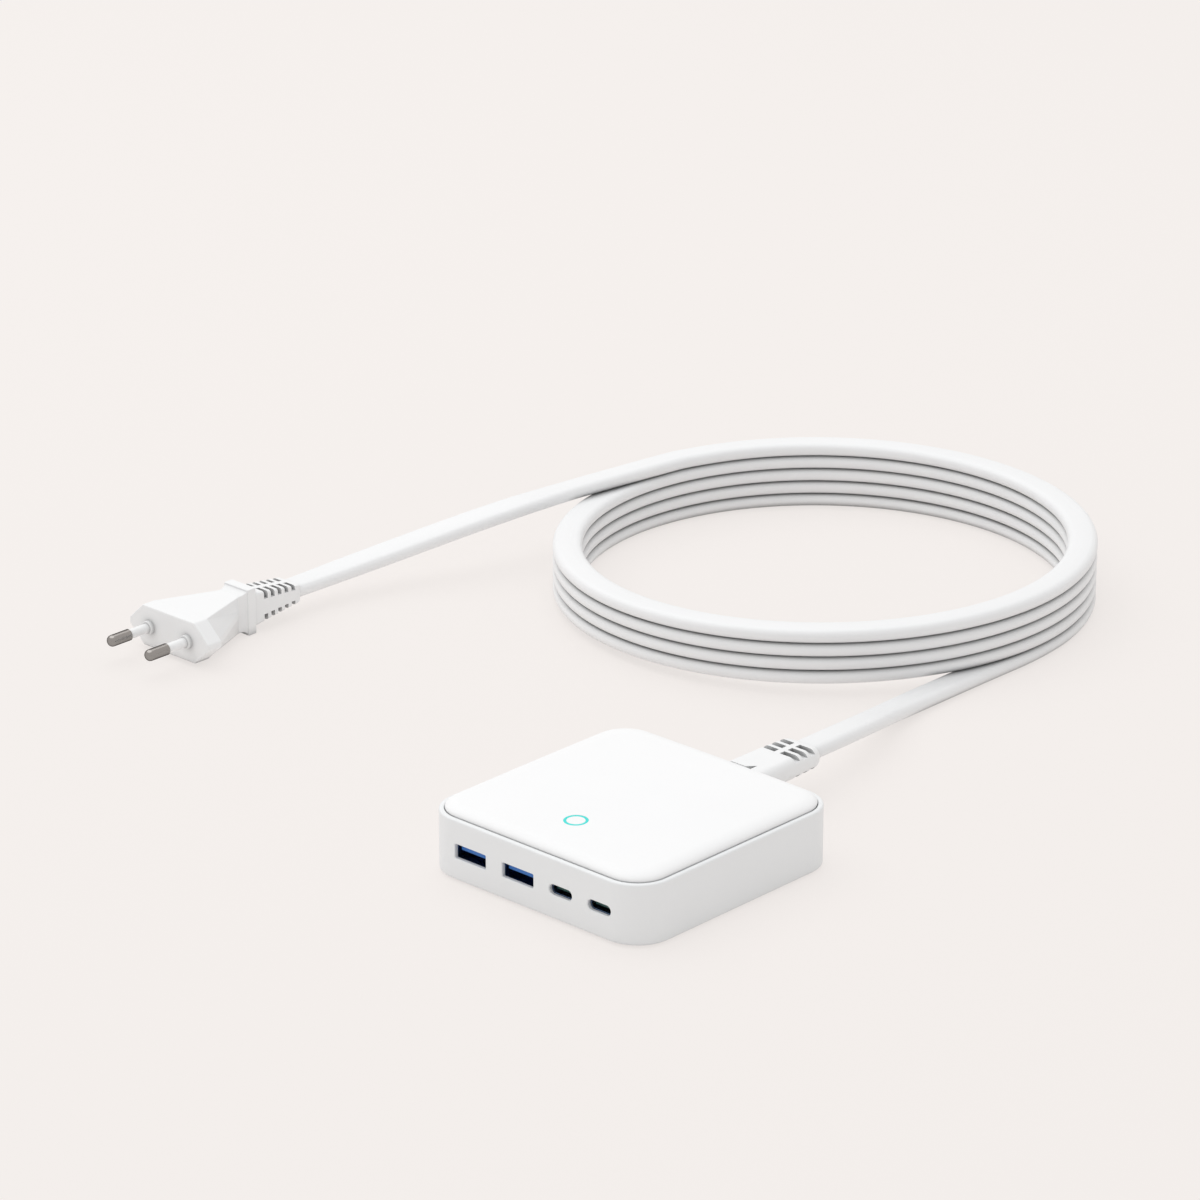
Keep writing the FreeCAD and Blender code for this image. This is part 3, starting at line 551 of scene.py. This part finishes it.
glow = rod("glow_ring", glow_radius - slip, (0, light_y, light_top - glow_height),
           (0, light_y, light_top), round_sides)
pick("FACE", lambda face: near(middle(face).z, light_top))
bpy.ops.mesh.inset(thickness=(glow_width - slip) * mm)
push(z=-cup_depth)
pick("EDGE", lambda edge: level_loop(edge, light_top))
round_over(glow_round, 2)
leave_edit()
finish_surface(glow)
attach(glow, "root")
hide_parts("light_guide")
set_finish(glow, "light_cyan")

disc = rod("ring_disc", glow_radius - glow_width - slip, (0, light_y, light_top - disc_height),
           (0, light_y, light_top), round_sides)
pick("EDGE", lambda edge: level_loop(edge, light_top))
round_over(disc_round, 3)
leave_edit()
finish_surface(disc)
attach(disc, "root")
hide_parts("ring_cap")
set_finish(disc, "cover_white")

# %% [markdown]
# ## The feet
#
# Four soft pads keep the box off the desk. One is modelled and copied, each copy with a mesh of its own,
# and the four are then joined to one piece.

# %% Feet
foot_reach = 31.0
foot_radius = 4.5
foot_round = 0.35
foot = rod("foot_pads", foot_radius, (-foot_reach, -foot_reach, 0),
           (-foot_reach, -foot_reach, foot_height), 48)
pick("EDGE", lambda edge: level_loop(edge, 0.0))
round_over(foot_round, 3)
leave_edit()
feet = [foot]
for x, y in ((2 * foot_reach, 0), (0, 2 * foot_reach), (2 * foot_reach, 2 * foot_reach)):
    use(foot)
    bpy.ops.object.duplicate(linked=False)
    copy = bpy.context.object
    copy.location = (x * mm, y * mm, 0)
    bpy.ops.object.transform_apply(location=True, rotation=False, scale=False)
    feet.append(copy)
feet = join(feet)
finish_surface(feet)
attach(feet, "root")
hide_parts("rubber_feet")
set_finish(feet, "foot_rubber")

# %% [markdown]
# ## The grip at the box
#
# The connector's grip is a soft moulded body: flat, widest in its first half and tapering towards the cord,
# with slots that let its end bend and a shallow recess on top that runs out in a three-cornered notch. It
# grows from a short rounded block by extruding its rear face from station to station and scaling each one.
# The slots and the recess are cut, and a rounded block in front becomes the nose that goes into the inlet.

# %% Grip
grip_start = 45.3
grip_length = 34.7
grip_height = 12.5
grip_round = 2.6
first_depth = 0.3
stations = (
    (0.0, 15.0, 6.0),
    (0.02, 15.8, 6.8),
    (0.08, 16.3, 7.2),
    (0.16, 16.6, 7.4),
    (0.30, 16.7, 7.45),
    (0.45, 16.6, 7.45),
    (0.60, 16.4, 7.4),
    (0.75, 16.1, 7.3),
    (0.91, 15.6, 7.1),
    (0.95, 15.1, 6.8),
    (0.98, 14.3, 6.2),
    (1.0, 13.0, 5.2),
)
slot_width = 2.3
slot_pitch = 3.7
slot_bridge = 1.1
slot_outside = 14.0
slot_margin = 3.2
slot_floor = 2.1
slot_floor_step = 0.06
deep_reach = 4.4
deep_share = 0.5


def grow(stations, start, length, centre_x, centre_z):
    """Extrudes the rear face through stations of (share of the length, width, height)."""
    for (share_a, width_a, height_a), (share_b, width_b, height_b) in zip(stations, stations[1:]):
        push(y=(share_b - share_a) * length)
        place = (centre_x * mm, (start + share_b * length) * mm, centre_z * mm)
        bpy.ops.transform.resize(value=(width_b / width_a, 1, height_b / height_a), center_override=place)


def slot_cutters(centre_x, centre_z, places, width, bridge, reach):
    """Boxes for slots of a bend relief, joined to one cutter. Each place is (start, floor height)."""
    boxes = []
    for y, floor_height in places:
        for sx in (-1, 1):
            for sz in (-1, 1):
                x = sorted((centre_x + sx * bridge, centre_x + sx * reach))
                z = sorted((centre_z + sz * floor_height, centre_z + sz * slot_outside))
                boxes.append(block("cutter", (x[0], y, z[0]), (x[1], y + width, z[1])))
                leave_edit()
    return join(boxes)


first_width, first_height = stations[0][1:]
grip = block("moulded_grip", (-first_width / 2, grip_start - first_depth, grip_height - first_height / 2),
             (first_width / 2, grip_start, grip_height + first_height / 2))
pick("EDGE", lambda edge: along(edge, 1))
round_over(grip_round, 8)
pick("FACE", lambda face: near(middle(face).y, grip_start))
grow(stations, grip_start, grip_length, 0.0, grip_height)
leave_edit()
slot_last = grip_start + grip_length - slot_margin - slot_width
grip_slots = [(slot_last - slot_pitch * place, slot_floor + slot_floor_step * place)
              for place in range(3)]
cutters = slot_cutters(0.0, grip_height, grip_slots, slot_width, slot_bridge, slot_outside)
combine(grip, cutters, "DIFFERENCE")
deep_slots = [(y, deep_share * floor_height) for y, floor_height in grip_slots]
cutters = slot_cutters(0.0, grip_height, deep_slots, slot_width, slot_bridge, deep_reach)
combine(grip, cutters, "DIFFERENCE")
print("slots in the grip:", len(grip_slots))

# %% Recess and nose of the grip
recess_floor = grip_height + 2.7
recess_top = recess_floor + 3
recess_sides = (-9.0, 0.2)
recess_end = 52.3
notch_end = 56.6
notch_width = 2.6
notch_slope = (-4.3, 2.6, 0)
strip = block("cutter", (recess_sides[0], grip_start - 1, recess_floor),
              (recess_sides[1], recess_end, recess_top))
leave_edit()
combine(grip, strip, "DIFFERENCE")
wedge = block("cutter", (0.0, grip_start - 1, recess_floor), (notch_width, notch_end, recess_top))
bpy.ops.mesh.select_all(action="SELECT")
bpy.ops.mesh.bisect(plane_co=(0, recess_end * mm, 0), plane_no=notch_slope, clear_outer=True, use_fill=True)
leave_edit()
combine(grip, wedge, "DIFFERENCE")
nose_half = (7.6, 3.5)
nose_tip = 30.4
nose_round = 3.4
nose = block("nose", (-nose_half[0], nose_tip, inlet_height - nose_half[1]),
             (nose_half[0], grip_start, inlet_height + nose_half[1]))
pick("EDGE", lambda edge: along(edge, 1))
round_over(nose_round, 8)
leave_edit()
combine(grip, nose, "UNION")
finish_surface(grip)
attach(grip, "root")
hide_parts("connector_body")
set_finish(grip, "mould_white")

# %% [markdown]
# ## The two-pin plug
#
# The plug's front is a flat block with a blunt point at each side. Behind it the body steps in a little,
# narrows to a tall neck, curves up into a thin flange and ends in a slotted bend relief. The block and the
# neck are two shapes, each with softened edges. Joined, they keep the crisp crease between them that one
# softened shape would lose. The two round pins have a bare metal tip, a thinner sleeve behind it and a
# collar where they enter the block, so each is three short cylinders in line.

# %% Block of the plug
plug_x = -226.5
plug_z = 8.3
plug_front = 17.0
block_end = 23.3
block_front = (12.65, 19.5, 7.3)
tip_half = 1.0
tip_zone = 1.5


def side_points(piece, y, corner_reach, tip_reach, half_height):
    """Gives the points of one section their places: flat above and below, a blunt point at each side."""
    mesh = bmesh.from_edit_mesh(piece.data)
    for vertex in mesh.verts:
        if near(vertex.co.y / mm, y):
            side = math.copysign(1.0, vertex.co.x / mm - plug_x)
            lift = vertex.co.z / mm - plug_z
            tip = abs(lift) < tip_zone
            vertex.co.x = (plug_x + side * (tip_reach if tip else corner_reach)) * mm
            vertex.co.z = (plug_z + math.copysign(tip_half if tip else half_height, lift)) * mm
    bmesh.update_edit_mesh(piece.data)


def pointed_block(name, y0, y1, corner_reach, tip_reach, half_height):
    piece = block(name, (plug_x - corner_reach, y0, plug_z - half_height),
                  (plug_x + corner_reach, y1, plug_z + half_height))
    for height in (-tip_half, tip_half):
        bpy.ops.mesh.select_all(action="SELECT")
        bpy.ops.mesh.bisect(plane_co=(0, 0, (plug_z + height) * mm), plane_no=(0, 0, 1))
    for y in (y0, y1):
        side_points(piece, y, corner_reach, tip_reach, half_height)
    return piece


def soften_edges(piece, width, angle):
    use(piece)
    soften = piece.modifiers.new("soften", "BEVEL")
    soften.width = width * mm
    soften.segments = 3
    soften.limit_method = "ANGLE"
    soften.angle_limit = math.radians(angle)
    bpy.ops.object.modifier_apply(modifier=soften.name)


plug = pointed_block("moulded_plug", plug_front, block_end, *block_front)
leave_edit()
soften_edges(plug, width=0.5, angle=20)
print("block of the plug:", len(plug.data.polygons), "faces")

# %% Neck and flange of the plug
neck_overlap = 0.6
neck_start = block_end - neck_overlap
neck_front = (12.6, 18.7, 7.22)
neck = pointed_block("neck", neck_start - neck_overlap, neck_start, *neck_front)
neck_stations = (
    (neck_start, *neck_front),
    (44.5, 4.9, 4.9, 6.6),
    (46.0, 5.0, 5.0, 6.66),
    (47.0, 5.2, 5.2, 6.95),
    (47.7, 5.45, 5.45, 7.4),
    (48.4, 5.8, 5.8, 8.1),
)
for (y0, *_), (y1, *section_sizes) in zip(neck_stations, neck_stations[1:]):
    pick("FACE", lambda face: all(near(vertex.co.y / mm, y0) for vertex in face.verts))
    push(y=y1 - y0)
    side_points(neck, y1, *section_sizes)
bpy.ops.mesh.select_all(action="SELECT")
bpy.ops.mesh.normals_make_consistent(inside=False)
leave_edit()
soften_edges(neck, width=0.45, angle=24)
combine(plug, neck, "UNION")
flange_start = 48.0
flange_end = 51.8
flange_half = 5.9
flange = block("flange", (plug_x - flange_half, flange_start, 0.0),
               (plug_x + flange_half, flange_end, 2 * plug_z))
leave_edit()
soften_edges(flange, width=0.4, angle=30)
combine(plug, flange, "UNION")
print("plug:", len(plug.data.polygons), "faces with its neck")

# %% Bend relief of the plug
relief_start = 51.3
relief_end = 73.0
relief_half = (5.5, 6.0)
relief_round = 1.1
relief = block("relief", (plug_x - relief_half[0], relief_start, plug_z - relief_half[1]),
               (plug_x + relief_half[0], relief_start + 1, plug_z + relief_half[1]))
pick("EDGE", lambda edge: along(edge, 1))
round_over(relief_round, 5)
pick("FACE", lambda face: near(middle(face).y, relief_start + 1))
relief_stations = ((0.046, 11.0, 12.0), (0.945, 10.95, 6.75), (0.985, 10.6, 6.3), (1.0, 10.1, 5.7))
grow(relief_stations, relief_start, relief_end - relief_start, plug_x, plug_z)
leave_edit()
relief_slot = 1.7
relief_pitch = 3.2
relief_margin = 2.6
relief_floor = 1.9
relief_floor_step = 0.22
relief_deep = 4.3
relief_deep_share = 0.4
relief_last = relief_end - relief_margin - relief_slot
relief_slots = [(relief_last - relief_pitch * place, relief_floor + relief_floor_step * place)
                for place in range(5)]
cutters = slot_cutters(plug_x, plug_z, relief_slots, relief_slot, slot_bridge, slot_outside)
combine(relief, cutters, "DIFFERENCE")
deep_slots = [(y, relief_deep_share * floor_height) for y, floor_height in relief_slots]
cutters = slot_cutters(plug_x, plug_z, deep_slots, relief_slot, slot_bridge, relief_deep)
combine(relief, cutters, "DIFFERENCE")
combine(plug, relief, "UNION")
print("slots in the plug's relief:", len(relief_slots))

# %% Pins, their sleeves and the collars at their roots
pin_reach = 9.3
pin_radius = 2.0
sleeve_radius = 1.65
collar_radius = 2.4
pin_tip = -1.5
sleeve_tip = 7.5
collar_front = plug_front - 1.5
pins = []
sleeves = []


def pin_rod(name, radius, x, front, back, edge_round, segments):
    """A rod along a pin's axis with its front edge rounded over."""
    piece = rod(name, radius, (x, front, plug_z), (x, back, plug_z), 48)
    pick("EDGE", lambda edge: all(near(vertex.co.y / mm, front) for vertex in edge.verts))
    round_over(edge_round, segments)
    leave_edit()
    return piece


for x in (plug_x - pin_reach, plug_x + pin_reach):
    combine(plug, pin_rod("collar", collar_radius, x, collar_front, plug_front + 1, 0.35, 3), "UNION")
    pins.append(pin_rod("pin_pair", pin_radius, x, pin_tip, sleeve_tip, 1.7, 8))
    sleeves.append(pin_rod("pin_sleeves", sleeve_radius, x, sleeve_tip, plug_front - 0.5, 0.15, 2))
finish_surface(plug)
pins = join(pins)
finish_surface(pins)
sleeves = join(sleeves)
finish_surface(sleeves)
for piece, node, finish in ((plug, "plug_body", "mould_white"), (pins, "plug_pins", "pin_nickel"),
                            (sleeves, "plug_pin_sleeves", "mould_white")):
    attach(piece, "root")
    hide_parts(node)
    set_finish(piece, finish)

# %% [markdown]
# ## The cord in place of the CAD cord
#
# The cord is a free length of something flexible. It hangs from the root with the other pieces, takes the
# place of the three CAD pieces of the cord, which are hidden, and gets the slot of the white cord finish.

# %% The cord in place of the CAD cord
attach(cord, "root")
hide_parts("cord_lead_charger", "cord_coil", "cord_lead_plug")
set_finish(cord, "cord_white")
print("cord declared:", round(cord_length, 2), "m")

# %% [markdown]
# ## A shared effect: moulded grain and painted shade in crevices
#
# Hard and soft mouldings have a fine spark-eroded grain, a slight unevenness of gloss and a tone that
# drifts a little over the part. In seams, slots and grooves the colour is darkened as painted shade, at the
# places that an
# Ambient Occlusion node finds. All the finishes share this effect, so it is a node group with named inputs.
# It gives a colour that carries this painted shade, a roughness and a normal, and each material keeps its
# own shader.

# %% Node group
def grain_and_crevice_shade():
    group = bpy.data.node_groups.new("grain and crevice shade", "ShaderNodeTree")
    sockets = (("INPUT", "Color", ("Tint", "Shade", "Crevice Shade")),
               ("INPUT", "Float", ("Roughness", "Grain", "Depth")),
               ("OUTPUT", "Color", ("Color",)),
               ("OUTPUT", "Float", ("Roughness",)),
               ("OUTPUT", "Vector", ("Normal",)))
    for way, kind, names in sockets:
        for name in names:
            group.interface.new_socket(name=name, in_out=way, socket_type="NodeSocket" + kind)
    nodes = group.nodes
    links = group.links
    inputs = nodes.new("NodeGroupInput")
    outputs = nodes.new("NodeGroupOutput")
    place = nodes.new("ShaderNodeTexCoord")
    drift = nodes.new("ShaderNodeTexNoise")
    drift.inputs["Scale"].default_value = 28.0
    drift.inputs["Detail"].default_value = 3.0
    tone = nodes.new("ShaderNodeMix")
    tone.data_type = "RGBA"
    # Painted shade: the Ambient Occlusion node marks seams, slots and grooves, and the mix below darkens
    # the colour there towards the crevice colour.
    corners = nodes.new("ShaderNodeAmbientOcclusion")
    corners.samples = 8
    corners.inputs["Distance"].default_value = 0.0035
    open_share = nodes.new("ShaderNodeMapRange")
    open_share.inputs["From Min"].default_value = 0.1
    open_share.inputs["From Max"].default_value = 0.97
    crevice_shading = nodes.new("ShaderNodeMix")
    crevice_shading.data_type = "RGBA"
    grain = nodes.new("ShaderNodeTexNoise")
    grain.inputs["Detail"].default_value = 2.0
    gloss = nodes.new("ShaderNodeMapRange")
    gloss.inputs["From Min"].default_value = 0.3
    gloss.inputs["From Max"].default_value = 0.7
    gloss.inputs["To Min"].default_value = -0.04
    gloss.inputs["To Max"].default_value = 0.04
    total = nodes.new("ShaderNodeMath")
    total.operation = "ADD"
    bump = nodes.new("ShaderNodeBump")
    bump.inputs["Distance"].default_value = 0.00004
    links.new(place.outputs["Object"], drift.inputs["Vector"])
    links.new(place.outputs["Object"], grain.inputs["Vector"])
    links.new(inputs.outputs["Grain"], grain.inputs["Scale"])
    links.new(drift.outputs["Fac"], tone.inputs["Factor"])
    links.new(inputs.outputs["Shade"], tone.inputs["A"])
    links.new(inputs.outputs["Tint"], tone.inputs["B"])
    links.new(grain.outputs["Fac"], gloss.inputs["Value"])
    links.new(gloss.outputs["Result"], total.inputs[0])
    links.new(inputs.outputs["Roughness"], total.inputs[1])
    links.new(grain.outputs["Fac"], bump.inputs["Height"])
    links.new(inputs.outputs["Depth"], bump.inputs["Strength"])
    links.new(corners.outputs["AO"], open_share.inputs["Value"])
    links.new(open_share.outputs["Result"], crevice_shading.inputs["Factor"])
    links.new(inputs.outputs["Crevice Shade"], crevice_shading.inputs["A"])
    links.new(tone.outputs["Result"], crevice_shading.inputs["B"])
    links.new(crevice_shading.outputs["Result"], outputs.inputs["Color"])
    links.new(total.outputs["Value"], outputs.inputs["Roughness"])
    links.new(bump.outputs["Normal"], outputs.inputs["Normal"])
    return group


grain_and_shade_group = grain_and_crevice_shade()
print("group:", grain_and_shade_group.name)

# %% [markdown]
# ## One material for each finish
#
# Each finish of the record gets a material of its own: a tint, a slightly darker shade of it and a darker
# one that paints shade into crevices, a roughness, the size and depth of its grain, and whether it is
# metal.
# The parts inside the casing are not seen in the picture, yet they keep true colours for anyone who opens
# the box.

# %% Materials
def colour(red, green, blue):
    """A colour as it looks on screen, turned to the linear values that shaders use."""
    return [c / 12.92 if c <= 0.04045 else ((c + 0.055) / 1.055) ** 2.4 for c in (red, green, blue)] + [1.0]


def darker(tint, share):
    return [channel * share for channel in tint[:3]] + [1.0]


def finish_material(name, tint, roughness, grain=2500.0, depth=0.2, metal=0.0, drift=0.97, crevice_shade=0.8):
    material = bpy.data.materials.new(name)
    material.use_nodes = True
    nodes = material.node_tree.nodes
    links = material.node_tree.links
    shader = nodes["Principled BSDF"]
    shader.inputs["Metallic"].default_value = metal
    effect = nodes.new("ShaderNodeGroup")
    effect.node_tree = grain_and_shade_group
    effect.inputs["Tint"].default_value = tint
    effect.inputs["Shade"].default_value = darker(tint, drift)
    # The crevice colour is painted shade: a darker share of the tint that the group lays into seams, slots
    # and grooves.
    effect.inputs["Crevice Shade"].default_value = darker(tint, crevice_shade)
    effect.inputs["Roughness"].default_value = roughness
    effect.inputs["Grain"].default_value = grain
    effect.inputs["Depth"].default_value = depth
    links.new(effect.outputs["Color"], shader.inputs["Base Color"])
    links.new(effect.outputs["Roughness"], shader.inputs["Roughness"])
    links.new(effect.outputs["Normal"], shader.inputs["Normal"])
    return material


# Each crevice value sets how dark the painted shade in seams, slots and grooves is; a lower value paints
# them darker.
finishes = {
    "shell_white": finish_material("shell white", colour(0.937, 0.944, 0.948), 0.42, crevice_shade=0.9),
    "cover_white": finish_material("cover white", colour(0.963, 0.965, 0.967), 0.5, depth=0.12,
                                   crevice_shade=0.68),
    "light_cyan": finish_material("light cyan", colour(0.0, 0.55, 0.52), 0.3),
    "foot_rubber": finish_material("foot rubber", colour(0.55, 0.55, 0.56), 0.8, depth=0.5),
    "screw_steel": finish_material("screw steel", colour(0.75, 0.75, 0.76), 0.35, metal=1.0),
    "board_green": finish_material("board green", colour(0.12, 0.42, 0.24), 0.45, drift=0.85),
    "sheet_film": finish_material("sheet film", colour(0.93, 0.93, 0.90), 0.4),
    "led_white": finish_material("led white", colour(0.95, 0.93, 0.80), 0.25),
    "fuse_sleeve": finish_material("fuse sleeve", colour(0.2, 0.2, 0.2), 0.5),
    "ferrite_grey": finish_material("ferrite grey", colour(0.25, 0.25, 0.26), 0.65, depth=0.5, drift=0.8),
    "wire_copper": finish_material("wire copper", colour(0.78, 0.45, 0.25), 0.35, metal=1.0, drift=0.8),
    "film_yellow": finish_material("film yellow", colour(0.90, 0.74, 0.20), 0.3),
    "chip_black": finish_material("chip black", colour(0.09, 0.09, 0.09), 0.6, depth=0.4),
    "can_sleeve": finish_material("can sleeve", colour(0.10, 0.11, 0.15), 0.3),
    "disc_blue": finish_material("disc blue", colour(0.16, 0.38, 0.70), 0.3),
    "tape_yellow": finish_material("tape yellow", colour(0.90, 0.80, 0.35), 0.4),
    "can_aluminium": finish_material("can aluminium", colour(0.80, 0.80, 0.81), 0.3, metal=1.0),
    "pad_grey": finish_material("pad grey", colour(0.55, 0.58, 0.63), 0.8),
    "plate_aluminium": finish_material("plate aluminium", colour(0.78, 0.79, 0.80), 0.4, metal=1.0),
    "port_steel": finish_material("port steel", colour(0.46, 0.54, 0.68), 0.3, metal=1.0),
    "tongue_blue": finish_material("tongue blue", colour(0.17, 0.45, 0.78), 0.4),
    "tongue_black": finish_material("tongue black", colour(0.08, 0.30, 0.28), 0.4),
    "contact_gold": finish_material("contact gold", colour(0.85, 0.68, 0.36), 0.3, metal=1.0),
    "inlet_black": finish_material("inlet black", colour(0.12, 0.12, 0.12), 0.5),
    "pin_nickel": finish_material("pin nickel", colour(0.62, 0.61, 0.60), 0.2, metal=1.0, drift=0.9),
    "mould_white": finish_material("mould white", colour(0.948, 0.951, 0.953), 0.45, crevice_shade=0.3),
    "cord_white": finish_material("cord white", colour(0.942, 0.945, 0.948), 0.42, crevice_shade=0.35),
}
glow_shader = finishes["light_cyan"].node_tree.nodes["Principled BSDF"]
glow_shader.inputs["Emission Color"].default_value = colour(0.0, 0.82, 0.80)
glow_shader.inputs["Emission Strength"].default_value = 0.7
pin_shader = finishes["pin_nickel"].node_tree.nodes["Principled BSDF"]
pin_shader.inputs["Specular Tint"].default_value = (0.02, 0.02, 0.02, 1.0)
print("finishes:", len(finishes))

# %% [markdown]
# ## Fine lines along the cord
#
# A jacket that is pressed through a die carries faint lines along its length. A noise that is stretched
# along the cord gives them. It reads the cord's own UV map, because the lines follow every bend, which
# Object coordinates could not do, and a bump lays them over the grain that the jacket already has.

# %% Fine lines along the cord
cord_tree = finishes["cord_white"].node_tree
along_cord = cord_tree.nodes.new("ShaderNodeUVMap")
along_cord.uv_map = "along"
stretch = cord_tree.nodes.new("ShaderNodeMapping")
stretch.inputs["Scale"].default_value = (0.35, 28.0, 1.0)
streaks = cord_tree.nodes.new("ShaderNodeTexNoise")
streaks.inputs["Scale"].default_value = 1.0
streaks.inputs["Detail"].default_value = 2.0
ridges = cord_tree.nodes.new("ShaderNodeBump")
ridges.inputs["Strength"].default_value = 0.5
ridges.inputs["Distance"].default_value = 0.0002
cord_tree.links.new(along_cord.outputs["UV"], stretch.inputs["Vector"])
cord_tree.links.new(stretch.outputs["Vector"], streaks.inputs["Vector"])
cord_tree.links.new(streaks.outputs["Fac"], ridges.inputs["Height"])
cord_tree.links.new(cord_tree.nodes["Group"].outputs["Normal"], ridges.inputs["Normal"])
cord_tree.links.new(ridges.outputs["Normal"], cord_tree.nodes["Principled BSDF"].inputs["Normal"])
print("lines along the cord added")

# %% [markdown]
# ## Finishes on their pieces
#
# The CAD nodes that stay take the finish that the record names for them, and each new piece takes the one
# of the slot that it was given. Old material slots are cleared first, so that nothing else shows.

# %% Finishes on their pieces
for part in frame["record"]["subparts"]:
    node = frame["nodes"][part["node"]]
    node.data.materials.clear()
    node.data.materials.append(finishes[part["material_slot"]])
for piece in (tray, lid, glow, disc, feet, grip, plug, pins, sleeves, cord):
    piece.data.materials.clear()
    piece.data.materials.append(finishes[piece["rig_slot"]])

# %% [markdown]
# ## Floor and light
#
# The picture is a plain studio shot on a warm pale ground with hardly any shadow. An even sky of light does
# most of the work, and a wide soft lamp above makes the tops the brightest faces. The ground shows its own
# pale colour to the camera and keeps a share of real shading, so that a soft shadow still ties the object
# to it.

# %% Rays that see the backdrop
def backdrop_rays(tree):
    """A value of 1 for camera rays and for rays that mirrors and glass send on, and 0 for the rest."""
    rays = tree.nodes.new("ShaderNodeLightPath")
    first = tree.nodes.new("ShaderNodeMath")
    first.operation = "MAXIMUM"
    second = tree.nodes.new("ShaderNodeMath")
    second.operation = "MAXIMUM"
    tree.links.new(rays.outputs["Is Camera Ray"], first.inputs[0])
    tree.links.new(rays.outputs["Is Glossy Ray"], first.inputs[1])
    tree.links.new(first.outputs["Value"], second.inputs[0])
    tree.links.new(rays.outputs["Is Transmission Ray"], second.inputs[1])
    return second.outputs["Value"]


backdrop = colour(243 / 255, 238 / 255, 235 / 255)
print("backdrop:", [round(channel, 3) for channel in backdrop[:3]])

# %% Floor
ground_size = 12.0
ground_level = -0.0003
backdrop_share = 0.8
bpy.ops.object.select_all(action="DESELECT")
bpy.ops.mesh.primitive_plane_add(size=ground_size, location=(0, 0, ground_level))
floor = bpy.context.object
floor.name = "floor"
bpy.ops.object.transform_apply(location=True, rotation=True, scale=True)
ground = bpy.data.materials.new("pale ground")
ground.use_nodes = True
nodes = ground.node_tree.nodes
links = ground.node_tree.links
nodes.remove(nodes["Principled BSDF"])
matt = nodes.new("ShaderNodeBsdfDiffuse")
matt.inputs["Color"].default_value = backdrop
shine = nodes.new("ShaderNodeEmission")
shine.inputs["Color"].default_value = backdrop
seen_share = nodes.new("ShaderNodeMath")
seen_share.operation = "MULTIPLY"
seen_share.inputs[1].default_value = backdrop_share
both = nodes.new("ShaderNodeMixShader")
links.new(backdrop_rays(ground.node_tree), seen_share.inputs[0])
links.new(seen_share.outputs["Value"], both.inputs["Fac"])
links.new(matt.outputs["BSDF"], both.inputs[1])
links.new(shine.outputs["Emission"], both.inputs[2])
links.new(both.outputs["Shader"], nodes["Material Output"].inputs["Surface"])
floor.data.materials.append(ground)
print("floor:", [round(side, 1) for side in floor.dimensions[:2]], "m")

# %% World and lamp
world = bpy.data.worlds.new("studio")
bpy.context.scene.world = world
world.use_nodes = True
nodes = world.node_tree.nodes
links = world.node_tree.links
sky = nodes["Background"]
sky.inputs["Color"].default_value = (1.0, 1.0, 1.0, 1.0)
sky.inputs["Strength"].default_value = 0.73
seen = nodes.new("ShaderNodeBackground")
seen.inputs["Color"].default_value = backdrop
both = nodes.new("ShaderNodeMixShader")
links.new(backdrop_rays(world.node_tree), both.inputs["Fac"])
links.new(sky.outputs["Background"], both.inputs[1])
links.new(seen.outputs["Background"], both.inputs[2])
links.new(both.outputs["Shader"], nodes["World Output"].inputs["Surface"])

lamp_data = bpy.data.lights.new("soft lamp above", "AREA")
lamp_data.shape = "DISK"
lamp_data.size = 2.4
lamp_data.energy = 15.2
lamp = bpy.data.objects.new("soft lamp above", lamp_data)
bpy.context.scene.collection.objects.link(lamp)
lamp.location = (-0.75, 0.1, 1.5)
lamp_target = Vector((-0.1, 0.1, 0.0))
lamp.rotation_euler = (lamp_target - lamp.location).to_track_quat("-Z", "Y").to_euler()
print("lamp:", lamp_data.energy, "W")

# %% [markdown]
# ## Closing
#
# The picture is shown as it is computed, with no extra contrast curve.

# %% View transform and the end
bpy.context.scene.view_settings.view_transform = "Standard"
bpy.context.view_layer.update()
